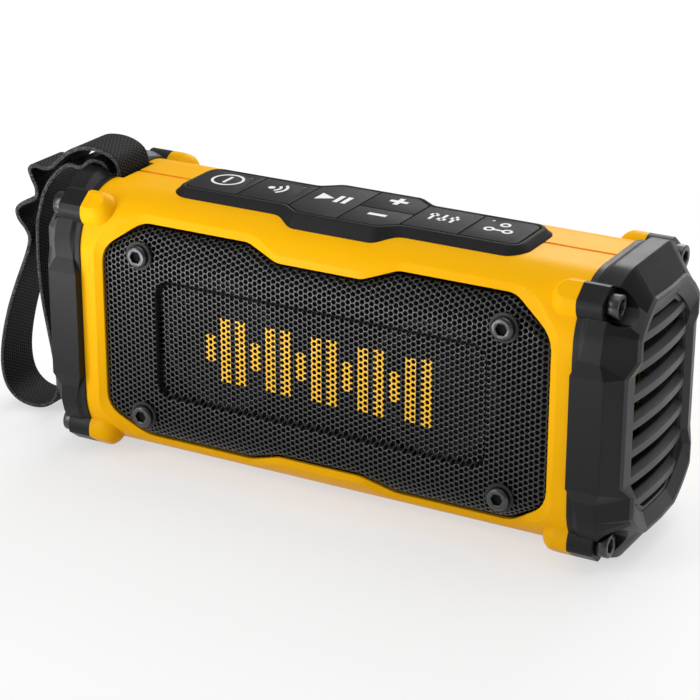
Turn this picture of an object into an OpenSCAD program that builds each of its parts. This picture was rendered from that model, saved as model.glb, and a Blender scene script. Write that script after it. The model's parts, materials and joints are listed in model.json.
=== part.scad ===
// Jobsite speaker: a moulded body in two shells, a perforated front grille, louvred end caps over
// passive radiators, a keypad on top and a webbing wrist strap.
// Millimetres. +X is to the right, the front is -Y, +Z is up. The origin is on the surface that the
// speaker stands on, midway between the end caps.

/* [Body] */
// Length of the body between the end caps
body_len = 220; // [214:1:236]
// Depth of the body from its front face to its back face
body_d = 79; // [77:1:86]
// Height of the body
body_h = 113; // [111:1:120]
// Radius of the body's long edges
edge_r = 25; // [24:0.5:27]
// Wall of the housing shells
wall = 2.8; // [2.5:0.1:3.2]
// Thickness of the seal between the two shells
seal_t = 1.8; // [1.4:0.1:2.2]
// How far the seal lies below the outer surface
seal_set = 0.3; // [0.2:0.1:0.6]
// Clearance between pieces that fit together
fit = 0.3; // [0.2:0.05:0.4]

/* [Corner bosses] */
// Radius of the corner bosses and of the lugs that continue them
boss_r = 7.5; // [7:0.25:8]
// Depth of the boss axis behind the front face
boss_inset_y = 8.2; // [7.5:0.1:9]
// Depth of the boss axis below the top face
boss_inset_z = 8; // [7.5:0.1:9]
// Straight length of a boss before its round end
boss_straight = 5; // [4:0.5:8]
// Depth of the flat that is cut on a boss
boss_flat = 1.1; // [0.5:0.1:2]
// Lean of that flat from the vertical
boss_flat_angle = 37; // [30:1:50]

/* [Front window] */
// Width of the window for the grille
window_w = 201; // [196:1:203]
// Height of the window
window_h = 94; // [90:0.5:95]
// Width of the flat middle of the window's notches
notch_w = 38; // [30:1:50]
// Width of a notch's sloping side
notch_slope = 14.5; // [10:0.5:20]
// Depth of the notches in the window's top and bottom
notch_depth = 5.2; // [3:0.2:7]
// Width of the cut corners of the window
window_cut_x = 17; // [12:1:22]
// Height of the cut corners of the window
window_cut_z = 12; // [8:1:16]
// Rounding of the window's corners
window_r = 12; // [8:0.5:14]
// Width of the bevel round the window
bevel_w = 3; // [1.5:0.1:3.2]
// Depth of that bevel
bevel_depth = 1.7; // [0.8:0.1:2]

/* [Grille] */
// Sheet thickness of the grille
grille_t = 1; // [0.8:0.1:1.2]
// Depth of the grille behind the front face
grille_set = 0.9; // [0.6:0.1:1.2]
// Width of the sunk panel in the grille
recess_w = 150; // [140:1:152]
// Height of the sunk panel
recess_h = 52; // [46:1:54]
// Depth of the sunk panel
recess_depth = 3; // [2:0.1:3.2]
// Run of the sunk panel's sloping walls
recess_slope = 2.2; // [1.5:0.1:3]
// Rounding of the sunk panel's corners
recess_r = 7; // [5:0.5:9]
// Width between the grille screws
grille_screw_dx = 163.2; // [161:0.2:166]
// Height between the grille screws
grille_screw_dz = 70; // [68:0.5:72]
// Diameter of a grille screw's head
grille_head_d = 9.5; // [8:0.1:10.5]
// Height of a grille screw's head
grille_head_h = 2.4; // [2:0.1:3]
// Diameter of the washers under the heads
grille_washer_d = 12; // [11:0.1:13]
// Thickness of those washers
grille_washer_t = 0.8; // [0.5:0.1:1]
// Diameter of a grille screw's shank
grille_shank_d = 3.4; // [3:0.1:4]

/* [Keypad] */
// Spacing of the key columns
key_pitch = 24.9; // [24.4:0.1:25.4]
// Gap between neighbouring keys
key_gap = 0.5; // [0.4:0.05:0.8]
// Depth of the outer keys, front to back
key_d = 24.8; // [22:0.2:26]
// Extra reach of the middle keys to the front and to the back
key_step = 6.1; // [5:0.1:6.4]
// Travel of a key
key_travel = 0.8; // [0.5:0.1:1]
// Height of the keypad above the body's top face
keypad_rise = 2.9; // [2.4:0.1:3.2]
// How far the keypad's middle lies in front of the seam
keypad_shift = 2.8; // [2:0.1:3.2]
// Width of the keypad's rim from the keys to the top of its slope
keypad_rim = 2; // [1.6:0.1:2.6]
// Run of the keypad's sloping sides
keypad_slope = 2.8; // [2.4:0.1:3.4]
// Width of the wide middle of the keypad
keypad_mid_w = 38; // [34:1:42]

/* [End caps] */
// Length of an end cap at the middle of its bowed end
cap_len = 23.2; // [22:0.2:26]
// Wall of an end cap
cap_wall = 2.4; // [2:0.1:2.8]
// How far the caps' rims stand proud of the body
cap_rim = 0.8; // [0.5:0.1:1.2]
// How far the caps' top and base pads stand proud of the body
pad_proud = 3.1; // [2.5:0.1:4]
// How far the caps' front and back pads stand proud of the body
side_proud = 3.6; // [3:0.1:4.5]
// Radius of the end faces' bow, seen from above
bow_r = 204; // [180:2:260]
// Height of the vent bezel
bezel_h = 97; // [95:0.5:99]
// Width of the bezel near its top and bottom
bezel_w = 60; // [58:0.5:62]
// Width of the bezel at its middle
bezel_mid_w = 70; // [66:0.5:72]
// Height of the wide middle of the bezel
bezel_mid_h = 44; // [40:1:48]
// Height of the vent's mouth
vent_h = 93; // [90:0.5:94]
// Width of the vent's mouth near its top and bottom
vent_w = 56; // [53:0.5:56.5]
// Width of the vent's mouth at its middle
vent_mid_w = 59; // [54:0.5:64]
// Height of the vent's sloping sills
sill_h = 5.5; // [4:0.25:6]
// Depth of the sills
sill_depth = 3; // [2:0.25:4]
// Number of slats in a vent
slat_count = 7; // [5:1:7]
// Spacing of the slats
slat_pitch = 11.3; // [9:0.1:12]
// Height of a slat's front face
slat_face = 3.2; // [2.4:0.1:4]
// Depth of a slat's sloping top
slat_slope = 2.8; // [2:0.1:4]
// Rise of a slat's sloping top
slat_rise = 1.6; // [1:0.1:2.5]
// Diameter of a cap screw's head
cap_head_d = 9.8; // [9:0.1:10.6]
// Length of a cap screw's head
cap_head_len = 4.8; // [4:0.1:6]
// Diameter of a cap screw's shank
cap_shank_d = 5; // [4:0.1:5.5]
// Radius of the pockets round the cap screws
pocket_r = 7.2; // [6.6:0.1:7.6]
// Length of the lugs, from the body to the pockets' floors
lug_len = 10.5; // [10:0.25:12]

/* [Strap] */
// Width of the webbing
strap_w = 22; // [20:0.5:24]
// Thickness of the webbing
strap_t = 1.9; // [1.6:0.1:2]
// Diameter of the bar that the strap loops round
bar_d = 3.5; // [3:0.1:3.6]
// Length of the strap slot in the body's end
slot_len = 3.4; // [3:0.1:3.5]
// Length of the strap slot in the cap
cap_slot_len = 8.6; // [8.4:0.1:9]

/* [Drivers] */
// Distance of each driver from the middle of the body
driver_dx = 48; // [44:0.5:52]
// Radius of a driver's mounting flange
driver_flange_r = 34; // [33:0.25:36]
// Radius of the hole in the baffle and of the surround
driver_hole_r = 30; // [28:0.25:31]
// Radius of a driver's cone
cone_r = 24; // [22:0.25:25]
// Thickness of the baffle
baffle_t = 3; // [2.5:0.1:4]

/* [Passive radiators] */
// Width of the hole for a radiator
radiator_w = 50; // [46:1:54]
// Height of the hole for a radiator
radiator_h = 80; // [74:1:84]
// Width of the half-round roll of a radiator's surround
roll_w = 6; // [5:0.25:7]
// Thickness of a radiator's frame
radiator_frame_t = 3.8; // [3:0.1:3.9]

/* [Electronics] */
// Width of the main board
board_w = 84; // [80:1:90]
// Height of the main board
board_h = 62; // [58:1:66]
// Thickness of the circuit boards
board_t = 1.6; // [1.2:0.1:2]
// Diameter of a battery cell
cell_d = 18.4; // [18:0.1:18.6]
// Length of a battery cell
cell_len = 65; // [63:0.5:67]
// Width of the charging port's cover
port_w = 30; // [26:1:34]
// Height of the charging port's cover
port_h = 16; // [15:0.5:18]
// Thickness of the cover
port_cover_t = 2; // [1.8:0.1:2.2]

/* [Hidden] */
$fn = 64;

yellow = [1, 0.72, 0.02];
black = [0.16, 0.16, 0.17];
dark = [0.09, 0.09, 0.1];
steel = [0.45, 0.45, 0.47];
board_green = [0.1, 0.35, 0.2];
orange = [1, 0.45, 0.05];
white = [0.9, 0.9, 0.88];

// Half sizes of the body, and the centres of its long edges' rounding
half_len = body_len / 2;
half_d = body_d / 2;
half_h = body_h / 2;
edge_y = half_d - edge_r;
edge_z = half_h - edge_r;
// Height of the body's middle above the ground
mid_z = half_h + pad_proud;
boss_y = half_d - boss_inset_y;
boss_z = half_h - boss_inset_z;

// Points and rings

function unit(v) = v / norm(v);
function mix(a, b, t) = a + (b - a) * t;
function bezier(a, b, c, t) = mix(mix(a, b, t), mix(b, c, t), t);

// Arc that rounds the corner b between a and c
function corner_arc(a, b, c, r, n) =
  let (u = unit(a - b), v = unit(c - b), half = acos(u * v) / 2)
  let (centre = b + unit(u + v) * r / sin(half))
  let (first = b + u * r / tan(half) - centre, last = b + v * r / tan(half) - centre)
  let (start = atan2(first.y, first.x), turn = atan2(first.x * last.y - first.y * last.x, first * last))
  [for (i = [0:n]) centre + r * [cos(start + turn * i / n), sin(start + turn * i / n)]];

// Outline with every corner rounded
function rounded(p, r, n = 4) =
  let (count = len(p))
  [for (i = [0:count - 1]) each corner_arc(p[(i + count - 1) % count], p[i], p[(i + 1) % count], r, n)];

// Long outline with cut corners, stepped in or out over its middle, in half sizes
function stepped_outline(w, h, mid, slope, step, cut_x, cut_y) =
  let (right = [
    [mid, h + step], [mid + slope, h], [w - cut_x, h], [w, h - cut_y],
    [w, cut_y - h], [w - cut_x, -h], [mid + slope, -h], [mid, -h - step]
  ])
  concat(right, [for (i = [len(right) - 1:-1:0]) [-right[i].x, right[i].y]]);

function window_outline(grow) = rounded(
  stepped_outline(window_w / 2 + grow, window_h / 2 + grow, notch_w / 2, notch_slope, -notch_depth,
    window_cut_x, window_cut_z), window_r);

// Solid through rings of equally many points, closed by a fan at each end
module loft(rings) {
  count = len(rings[0]);
  last = len(rings) - 1;
  middle = function(ring) [for (k = [0:2]) [for (p = ring) p[k]] * [for (p = ring) 1] / count];
  points = concat([for (ring = rings) each ring], [middle(rings[0]), middle(rings[last])]);
  first_mid = len(points) - 2;
  last_mid = len(points) - 1;
  sides = [for (r = [0:last - 1]) for (i = [0:count - 1])
    let (j = (i + 1) % count, a = r * count, b = a + count)
    each [[a + i, a + j, b + i], [a + j, b + j, b + i]]];
  start_fan = [for (i = [0:count - 1]) [first_mid, (i + 1) % count, i]];
  end_fan = [for (i = [0:count - 1]) [last_mid, last * count + i, last * count + (i + 1) % count]];
  polyhedron(points, concat(sides, start_fan, end_fan));
}

// Places

module stand() { translate([0, 0, mid_z]) children(); }
module along_x(from, to) { translate([from, 0, 0]) rotate([90, 0, 90]) linear_extrude(to - from) children(); }
module along_y(from, to) { translate([0, to, 0]) rotate([90, 0, 0]) linear_extrude(to - from) children(); }
module along_z(from, to) { translate([0, 0, from]) linear_extrude(to - from) children(); }
module flip_x(yes) { mirror([yes ? 1 : 0, 0, 0]) children(); }
module both_ends() { for (s = [0, 1]) mirror([s, 0, 0]) children(); }
module top_and_base() { for (s = [0, 1]) mirror([0, 0, s]) children(); }
module front_and_back() { for (s = [0, 1]) mirror([0, s, 0]) children(); }
module rod_y(x, z, from, to, r) {
  translate([x, from, z]) rotate([-90, 0, 0]) cylinder(h = to - from, r = r);
}
module rod_x(y, z, from, to, r) {
  translate([from, y, z]) rotate([0, 90, 0]) cylinder(h = to - from, r = r);
}

// Rounded rectangle drawn with true arcs
module rounded_rect(w, h, r) {
  if (w > 2 * r) square([w - 2 * r, h], center = true);
  if (h > 2 * r) square([w, h - 2 * r], center = true);
  for (x = [-1, 1], y = [-1, 1]) translate([x * (w / 2 - r), y * (h / 2 - r)]) circle(r);
}

// Section of the body, seen from its end, set in from the outer surface
module body_section(inset) { rounded_rect(body_d - 2 * inset, body_h - 2 * inset, edge_r - inset); }
module body_bar(inset, reach = 1) { along_x(-half_len - reach, half_len + reach) body_section(inset); }

// Housing shells

merge = 0.4;
radiator_set = 7.5;
flange_t = 3;
flange_w = 4;
radiator_x = half_len - radiator_set;
radiator_face = radiator_x + radiator_frame_t;
column_r = 4.5;
column_inset_x = 18;
column_inset_z = 12.5;
column_inset_y = 11.3;
column_x = half_len - column_inset_x;
column_z = half_h - column_inset_z;
column_end = half_d - column_inset_y;
// Places of the housing screws, as [x, z]
columns = [[-column_x, column_z], [column_x, column_z], [-column_x, -column_z], [0, -column_z],
  [column_x, -column_z]];
column_floor = 4;
housing_shank_r = 2;
housing_head_r = 3.8;
housing_head_h = 3;
housing_head_seat = 26;
cap_screw_depth = 12;
shank_play = 0.05;

module boss_section() {
  difference() {
    circle(boss_r);
    rotate(boss_flat_angle) translate([-boss_r, boss_r - boss_flat]) square([2 * boss_r, boss_r]);
  }
}

// Round-ended boss at the right, front, top corner
module corner_boss() {
  translate([half_len - boss_straight, -boss_y, boss_z]) rotate([boss_flat_angle, 0, 0]) difference() {
    rotate([0, 90, 0]) rotate_extrude() {
      square([boss_r, boss_straight]);
      intersection() {
        circle(boss_r);
        translate([0, -boss_r]) square(boss_r);
      }
    }
    translate([-2 * boss_r, -boss_r, boss_r - boss_flat]) cube([4 * boss_r, 2 * boss_r, boss_r]);
  }
}

// Screw columns with ribs up or down to the shell
module column_bodies() {
  rib_t = 3;
  for (c = columns) rod_y(c[0], c[1], -column_end, -seal_t / 2, column_r);
  intersection() {
    body_bar(wall / 2, 0);
    for (c = columns) translate([c[0] - rib_t / 2, column_r - column_end, min(c[1], sign(c[1]) * half_h)])
      cube([rib_t, column_end - column_r - seal_t / 2, half_h - column_z]);
  }
}

// Ring inside the body's end that carries the radiator frame
module end_flange() {
  difference() {
    along_x(radiator_x - flange_t, radiator_x) body_section(wall - merge);
    along_x(radiator_x - flange_t - 1, radiator_x + 1) body_section(wall + flange_w);
  }
}

ledge_t = 2.5;
ledge_w = 2.6;
ledge_bite = 0.25;
well_wall = 2;

// Top surface of the body at a distance y from the seam
function top_z(y) =
  let (over = max(abs(y) - edge_y, 0))
  edge_z + sqrt(edge_r * edge_r - over * over);

// The ledge lies just below the surface at the keypad's front edge
keypad_margin = keypad_rim + keypad_slope;
ledge_z = top_z(keypad_shift + key_d / 2 + key_step + keypad_margin) - ledge_bite;

// Raised wall and ledge that the keypad frame drops into; shift is the keypad's distance in front of the seam
module keypad_well(shift) {
  intersection() {
    translate([0, -shift, 0]) along_z(ledge_z - ledge_t, half_h) polygon(keypad_outline(well_wall));
    body_bar(merge);
  }
}

// Room for the frame above the ledge, and for the keys within it
module keypad_pocket(shift) {
  translate([0, -shift, 0]) {
    along_z(ledge_z, body_h) polygon(keypad_outline(fit / 2));
    along_z(ledge_z - ledge_t - merge, half_h) polygon(keypad_outline(-ledge_w));
  }
}

key_post_r = 2.5;
module key_posts(shift) {
  for (x = [-1, 1]) translate([x * key_post_x, -shift - key_post_y, key_board_top])
    cylinder(h = ledge_z - ledge_t - key_board_top + merge, r = key_post_r);
}

// Shell in front of the seam, with or without the window; shift places the keypad
module plain_half(window, shift) {
  difference() {
    union() {
      difference() {
        union() {
          difference() {
            body_bar(0, 0);
            body_bar(wall);
          }
          both_ends() end_flange();
          keypad_well(shift);
        }
        if (window) window_opening();
      }
      both_ends() top_and_base() corner_boss();
    }
    translate([-body_len, -seal_t / 2, -body_h]) cube([2 * body_len, body_d, 2 * body_h]);
    keypad_pocket(shift);
    strap_slot();
    both_ends() top_and_base() rod_x(-boss_y, boss_z, half_len - cap_screw_depth, half_len + 1,
      cap_shank_d / 2 + shank_play);
  }
}

slot_play = 0.6;
slot_w = strap_w + 2 * slot_play;
module strap_slot() {
  translate([-half_len - 1, -slot_w / 2, half_h - wall - 1]) cube([slot_len + 1, slot_w, wall + 2]);
}

// Layer of the front or back surface between two depths
module surface_layer(outer, inner) {
  difference() {
    body_bar(outer, 0);
    body_bar(inner, 1);
  }
}

// Front surface of the body at a height above its middle
function front_y(z) =
  let (over = max(abs(z) - edge_z, 0))
  -edge_y - sqrt(edge_r * edge_r - over * over);

// Opening for the grille, with a bevel that follows the rounded front and runs out of it
module window_opening() {
  above = 0.6;
  outer = bevel_w * (1 + above / bevel_depth);
  on_front = function(grow, depth) [for (p = window_outline(grow)) [p.x, front_y(p.y) + depth, p.y]];
  at_depth = function(grow, y) [for (p = window_outline(grow)) [p.x, y, p.y]];
  loft([at_depth(0, -edge_y), on_front(0, bevel_depth), on_front(outer, -above), at_depth(outer, -body_d)]);
}

module front_housing() {
  color(yellow) stand() {
    plain_half(true, keypad_shift);
    front_columns();
    key_posts(keypad_shift);
  }
}

module front_columns() {
  difference() {
    column_bodies();
    for (c = columns) rod_y(c[0], c[1], -column_end + column_floor, 1, housing_shank_r + shank_play);
  }
}

panel_depth = 1;
panel_inset = 9;
panel_y = half_d - panel_depth;

// The shell behind the seam, with a shallow panel, the charging port and the screw wells
module rear_housing() {
  color(yellow) stand() {
    difference() {
      union() {
        mirror([0, 1, 0]) plain_half(false, -keypad_shift);
        mirror([0, 1, 0]) column_bodies();
        mirror([0, 1, 0]) key_posts(-keypad_shift);
        board_posts();
        port_block();
      }
      intersection() {
        surface_layer(-1, panel_depth);
        along_y(edge_y, body_d) polygon(window_outline(-panel_inset));
      }
      for (c = columns) {
        rod_y(c[0], c[1], -1, half_d, housing_shank_r + shank_play);
        rod_y(c[0], c[1], housing_head_seat, body_d, housing_head_r + fit);
      }
      board_post_holes();
      port_pocket();
    }
  }
}

module housing_seal() {
  color(orange) stand() difference() {
    intersection() {
      difference() {
        body_bar(seal_set, 0);
        body_bar(wall);
      }
      cube([body_len, seal_t, 2 * body_h], center = true);
    }
    keypad_pocket(keypad_shift);
    strap_slot();
  }
}

module housing_screws() {
  socket_r = 2;
  thread_end = -16;
  color(steel) stand() for (c = columns) {
    rod_y(c[0], c[1], thread_end, housing_head_seat, housing_shank_r);
    difference() {
      rod_y(c[0], c[1], housing_head_seat, housing_head_seat + housing_head_h, housing_head_r);
      translate([c[0], housing_head_seat + housing_head_h / 2, c[1]]) rotate([-90, 0, 0])
        cylinder(h = housing_head_h, r = socket_r, $fn = 6);
    }
  }
}

// Grille and baffle

baffle_gap = 6.1;
grille_y = half_d - grille_set;
grille_back = grille_y - grille_t;
baffle_face = grille_back - baffle_gap;
baffle_back = baffle_face - baffle_t;
baffle_half_w = radiator_x - flange_t - fit;
baffle_half_h = edge_z + sqrt(pow(edge_r - wall, 2) - pow(baffle_face - edge_y, 2)) - fit;
post_r = 4.5;

module grille_screw_places() {
  for (x = [-1, 1], z = [-1, 1]) translate([x * grille_screw_dx / 2, 0, z * grille_screw_dz / 2]) children();
}

module baffle() {
  baffle_r = 8;
  color(dark) stand() difference() {
    union() {
      along_y(-baffle_face, -baffle_back) rounded_rect(2 * baffle_half_w, 2 * baffle_half_h, baffle_r);
      intersection() {
        grille_screw_places() rod_y(0, 0, -half_d, -baffle_face + merge, post_r);
        body_bar(grille_set + grille_t);
      }
    }
    for (x = [-1, 1]) rod_y(x * driver_dx, 0, -half_d, 0, driver_hole_r);
    grille_screw_places() rod_y(0, 0, -body_d, 0, grille_shank_d / 2 + shank_play);
  }
}

function recess_ring(inset, y) = [for (p = rounded([
    [recess_w / 2 - inset, recess_h / 2 - inset], [-recess_w / 2 + inset, recess_h / 2 - inset],
    [-recess_w / 2 + inset, -recess_h / 2 + inset], [recess_w / 2 - inset, -recess_h / 2 + inset]
  ], recess_r)) [p.x, -y, p.y]];

// Formed sheet with turned-back edges and a sunk middle; its holes are left to the finish
module grille() {
  hole_play = 0.5;
  color(black) stand() difference() {
    union() {
      intersection() {
        surface_layer(grille_set, grille_set + grille_t);
        along_y(-body_d, 0) polygon(window_outline(-fit));
      }
      intersection() {
        along_y(-grille_y, -baffle_face - fit) difference() {
          polygon(window_outline(-fit));
          polygon(window_outline(-fit - grille_t));
        }
        body_bar(grille_set);
      }
      loft([recess_ring(-grille_t, grille_y), recess_ring(-grille_t, grille_back - grille_t),
        recess_ring(recess_slope - grille_t, grille_back - recess_depth)]);
    }
    loft([recess_ring(-0.01, grille_y + 0.01), recess_ring(recess_slope, grille_y - recess_depth)]);
    grille_screw_places() rod_y(0, 0, -body_d, 0, grille_shank_d / 2 + hole_play);
  }
}

module grille_washers() {
  color(dark) stand() grille_screw_places() difference() {
    rod_y(0, 0, -grille_y - grille_washer_t, -grille_y, grille_washer_d / 2);
    rod_y(0, 0, -body_d, 0, grille_shank_d / 2 + shank_play);
  }
}

module grille_screws() {
  seat = grille_y + grille_washer_t;
  crown = 0.8;
  socket_r = 2.5;
  socket_depth = 1.6;
  color(steel) stand() grille_screw_places() difference() {
    union() {
      rod_y(0, 0, -seat, -baffle_face + 1, grille_shank_d / 2);
      translate([0, -seat, 0]) rotate([90, 0, 0]) {
        cylinder(h = grille_head_h - crown, d = grille_head_d);
        translate([0, 0, grille_head_h - crown])
          cylinder(h = crown, d1 = grille_head_d, d2 = grille_head_d - 2 * crown);
      }
    }
    translate([0, -seat - grille_head_h + socket_depth, 0]) rotate([90, 0, 0])
      cylinder(h = socket_depth + 1, r = socket_r, $fn = 6);
  }
}

// End caps

bow_x = half_len + cap_len;
function bow(y) = bow_x - y * y / (2 * bow_r);
cap_top_w = 32;
cap_mid_h = 46;
cap_chamfer = 5.5;
corner_proud = 1.5;
corner_steps = 8;
rim_len = 2.5;

// A full ring from its quarter, which runs from the top centre to the side centre
function whole_ring(q) =
  let (n = len(q) - 1)
  concat(q,
    [for (i = [n - 1:-1:0]) [q[i].x, q[i].y, -q[i].z]],
    [for (i = [1:n]) [q[i].x, -q[i].y, -q[i].z]],
    [for (i = [n - 1:-1:1]) [q[i].x, -q[i].y, q[i].z]]);

// Ring round the cap: place x and height p above the body at the top, corner, side and side's middle.
// Both change smoothly from the top to the middle of the corner
function cap_ring(x, p) = whole_ring([
  [x[0], 0, half_h + p[0]],
  [x[0], cap_top_w / 2, half_h + p[0]],
  for (i = [corner_steps:-1:1])
    let (a = 90 * i / (corner_steps + 1), share = (1 - cos(min(180, 4 * (90 - a)))) / 2)
    let (r = edge_r + mix(p[0], p[1], share))
    [mix(x[0], x[1], share), edge_y + r * cos(a), edge_z + r * sin(a)],
  [x[2], half_d + p[2], cap_mid_h / 2 + cap_chamfer],
  [x[3], half_d + p[3], cap_mid_h / 2],
  [x[3], half_d + p[3], 0]
]);

// Quarter of an outline round the vent, as [y, z]: its half height, and its half width at the ends and middle
vent_corner = 14.5;
vent_drop = 12;
vent_ease = 5;
vent_chamfer = 5.5;
function vent_quarter(h, w, mid) =
  let (top = [w - vent_corner, h], side = [w, h - vent_drop])
  let (corner = [side.x, top.y] - [vent_ease, vent_ease])
  concat([[0, h], top], [for (i = [1:corner_steps]) bezier(top, corner, side, i / corner_steps)],
    [[w, bezel_mid_h / 2 + vent_chamfer], [mid, bezel_mid_h / 2], [mid, 0]]);
function bezel_quarter(g) = vent_quarter(bezel_h / 2 + g, bezel_w / 2 + g, bezel_mid_w / 2 + g);

// The vent behind its sills, grown by g
sill_side = 1.5;
function throat_quarter(g) =
  vent_quarter(vent_h / 2 - sill_h + g, vent_w / 2 - sill_side + g, vent_mid_w / 2 - sill_side + g);
function throat_outline(g) = [for (p = whole_ring([for (q = throat_quarter(g)) [0, q[0], q[1]]])) [p.y, p.z]];

// Ring on the bowed end face, sunk into it. Beside its corners the face stands out of the bow
end_lift = 1.8;
lift_share = concat([0, 0], [for (i = [1:corner_steps]) i / corner_steps], [1, 0, 0]);
function end_ring(quarter, sink) = whole_ring([for (i = [0:len(quarter) - 1])
  let (p = quarter[i]) [bow(p[0]) - sink + end_lift * lift_share[i], p[0], p[1]]]);

// Distances from the body's end, and heights of the pads, each at the top, corner, side and side's middle
function from_body(gaps) = [for (gap = gaps) half_len + gap];
function same(value) = [for (i = [1:4]) value];
rim_gaps = [rim_len, rim_len, rim_len, 0.2];
pad_start = [6, 4.5, rim_len + 0.3, 0.4];
pad_end = [13.5, 12, 11.5, 14];
pads = [pad_proud, corner_proud, corner_proud, side_proud];
bezel_edge = 1.2;

module cap_outside() {
  loft([cap_ring(from_body(same(0)), same(cap_rim)), cap_ring(from_body(rim_gaps), same(cap_rim)),
    cap_ring(from_body(pad_start), pads), cap_ring(from_body(pad_end), pads),
    end_ring(bezel_quarter(0), bezel_edge), end_ring(bezel_quarter(-bezel_edge / 2), 0),
    end_ring(throat_quarter(0), 0)]);
}

module cap_inside() {
  rim_depth = 2;
  inner_start = [1, 1, 1, 4];
  inner_end = 1;
  loft([cap_ring(from_body(same(-inner_end)), same(-wall)), cap_ring(from_body(same(rim_depth)), same(-wall)),
    cap_ring(from_body(pad_start + inner_start), pads - same(cap_wall)),
    cap_ring(from_body(pad_end - same(inner_end)), pads - same(cap_wall)),
    end_ring(bezel_quarter(-cap_wall), sill_depth + cap_wall)]);
}

// The vent's mouth with its sloping sills
module vent_mouth() {
  above = 0.5;
  mouth = vent_quarter(vent_h / 2, vent_w / 2, vent_mid_w / 2);
  loft([end_ring(throat_quarter(0), 4 * cap_wall + sill_depth), end_ring(throat_quarter(0), sill_depth),
    end_ring(mouth, 0), end_ring(mouth, -above)]);
}

pocket_floor = half_len + lug_len;

module end_cap(left) {
  hub_r = boss_r + cap_wall;
  color(black) stand() flip_x(left) difference() {
    union() {
      cap_outside();
      front_and_back() top_and_base() translate([0, -boss_y, boss_z])
        along_x(half_len, pocket_floor) boss_section();
    }
    difference() {
      cap_inside();
      front_and_back() top_and_base() rod_x(-boss_y, boss_z, half_len, bow_x, hub_r);
      if (left) strap_bar_blocks();
    }
    vent_mouth();
    front_and_back() top_and_base() {
      rod_x(-boss_y, boss_z, pocket_floor, bow_x + 1, pocket_r);
      rod_x(-boss_y, boss_z, half_len - 1, bow_x, cap_shank_d / 2 + fit);
    }
    if (left) {
      mirror([1, 0, 0]) cap_slot();
      mirror([1, 0, 0]) strap_bar_shape(shank_play);
    }
  }
}
module left_end_cap() { end_cap(true); }
module right_end_cap() { end_cap(false); }

// Slatted insert of a vent, bowed like the cap's end
vent_depth = 21;
vent_rim = 1.4;
slat_sink = 2.2;
slat_back = 0.8;

module vent_louver(left) {
  centre_x = bow_x - bow_r;
  rim_r = bow_r - sill_depth - fit;
  slat_r = bow_r - slat_sink;
  spread = 12;
  color(black) stand() flip_x(left) {
    intersection() {
      along_x(bow_x - vent_depth, bow_x) difference() {
        polygon(throat_outline(-fit / 2));
        polygon(throat_outline(-fit / 2 - vent_rim));
      }
      translate([centre_x, 0, -body_h]) cylinder(h = 2 * body_h, r = rim_r, $fn = 200);
    }
    intersection() {
      along_x(bow_x - vent_depth, bow_x) polygon(throat_outline(-fit / 2 - vent_rim / 2));
      for (i = [0:slat_count - 1])
        translate([centre_x, 0, (i - (slat_count - 1) / 2) * slat_pitch]) rotate(-spread)
          rotate_extrude(angle = 2 * spread, $fn = 200) polygon([
            [slat_r, -slat_face / 2 - slat_rise / 4],
            [slat_r, slat_face / 2 - slat_rise / 4],
            [slat_r - slat_slope, slat_face / 2 + slat_rise * 3 / 4],
            [slat_r - slat_slope - slat_back, slat_face / 2 + slat_rise * 3 / 4],
            [slat_r - slat_slope - slat_back, -slat_face / 2 - slat_rise / 4]
          ]);
    }
  }
}
module left_vent_louver() { vent_louver(true); }
module right_vent_louver() { vent_louver(false); }

module cap_screws(left) {
  socket_r = 3;
  socket_depth = 3;
  shank_end = half_len - cap_screw_depth + 1;
  color(steel) stand() flip_x(left) front_and_back() top_and_base() difference() {
    union() {
      rod_x(-boss_y, boss_z, shank_end, pocket_floor, cap_shank_d / 2);
      rod_x(-boss_y, boss_z, pocket_floor, pocket_floor + cap_head_len, cap_head_d / 2);
    }
    translate([pocket_floor + cap_head_len - socket_depth, -boss_y, boss_z]) rotate([0, 90, 0])
      cylinder(h = socket_depth + 1, r = socket_r, $fn = 6);
  }
}
module left_cap_screws() { cap_screws(true); }
module right_cap_screws() { cap_screws(false); }

// Passive radiators behind the vents

surround_t = 1;
surround_lap = 4;
track_w = radiator_w - roll_w;
track_h = radiator_h - roll_w;

module track(w, h) { rounded_rect(w, h, w / 2); }

module half_ring(r, t) {
  difference() {
    circle(r);
    circle(r - t);
    translate([-2 * r, -2 * r]) square([4 * r, 2 * r]);
  }
}

// Half-round roll along a track with straight sides and round ends
module track_roll(w, h, r, t) {
  for (s = [0, 180]) rotate(s) {
    translate([0, (h - w) / 2, 0]) rotate_extrude(angle = 180) translate([w / 2, 0]) half_ring(r, t);
    translate([w / 2, (h - w) / 2, 0]) rotate([90, 0, 0]) linear_extrude(h - w) half_ring(r, t);
  }
}

module radiator_frame(left) {
  color(dark) stand() flip_x(left) difference() {
    along_x(radiator_x, radiator_face) difference() {
      body_section(wall + fit);
      track(radiator_w, radiator_h);
    }
    front_and_back() top_and_base() rod_x(-boss_y, boss_z, 0, body_len, boss_r + fit);
  }
}
module left_radiator_frame() { radiator_frame(true); }
module right_radiator_frame() { radiator_frame(false); }

module radiator_surround(left) {
  inner_w = radiator_w - 2 * roll_w;
  inner_h = radiator_h - 2 * roll_w;
  color(dark) stand() flip_x(left) {
    along_x(radiator_face, radiator_face + surround_t) {
      difference() {
        track(radiator_w + 2 * surround_lap, radiator_h + 2 * surround_lap);
        track(radiator_w - 2 * surround_t, radiator_h - 2 * surround_t);
      }
      difference() {
        track(inner_w + 2 * surround_t, inner_h + 2 * surround_t);
        track(inner_w - 2 * surround_lap, inner_h - 2 * surround_lap);
      }
    }
    translate([radiator_face, 0, 0]) rotate([90, 0, 90]) track_roll(track_w, track_h, roll_w / 2, surround_t);
  }
}
module left_radiator_surround() { radiator_surround(true); }
module right_radiator_surround() { radiator_surround(false); }

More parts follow.
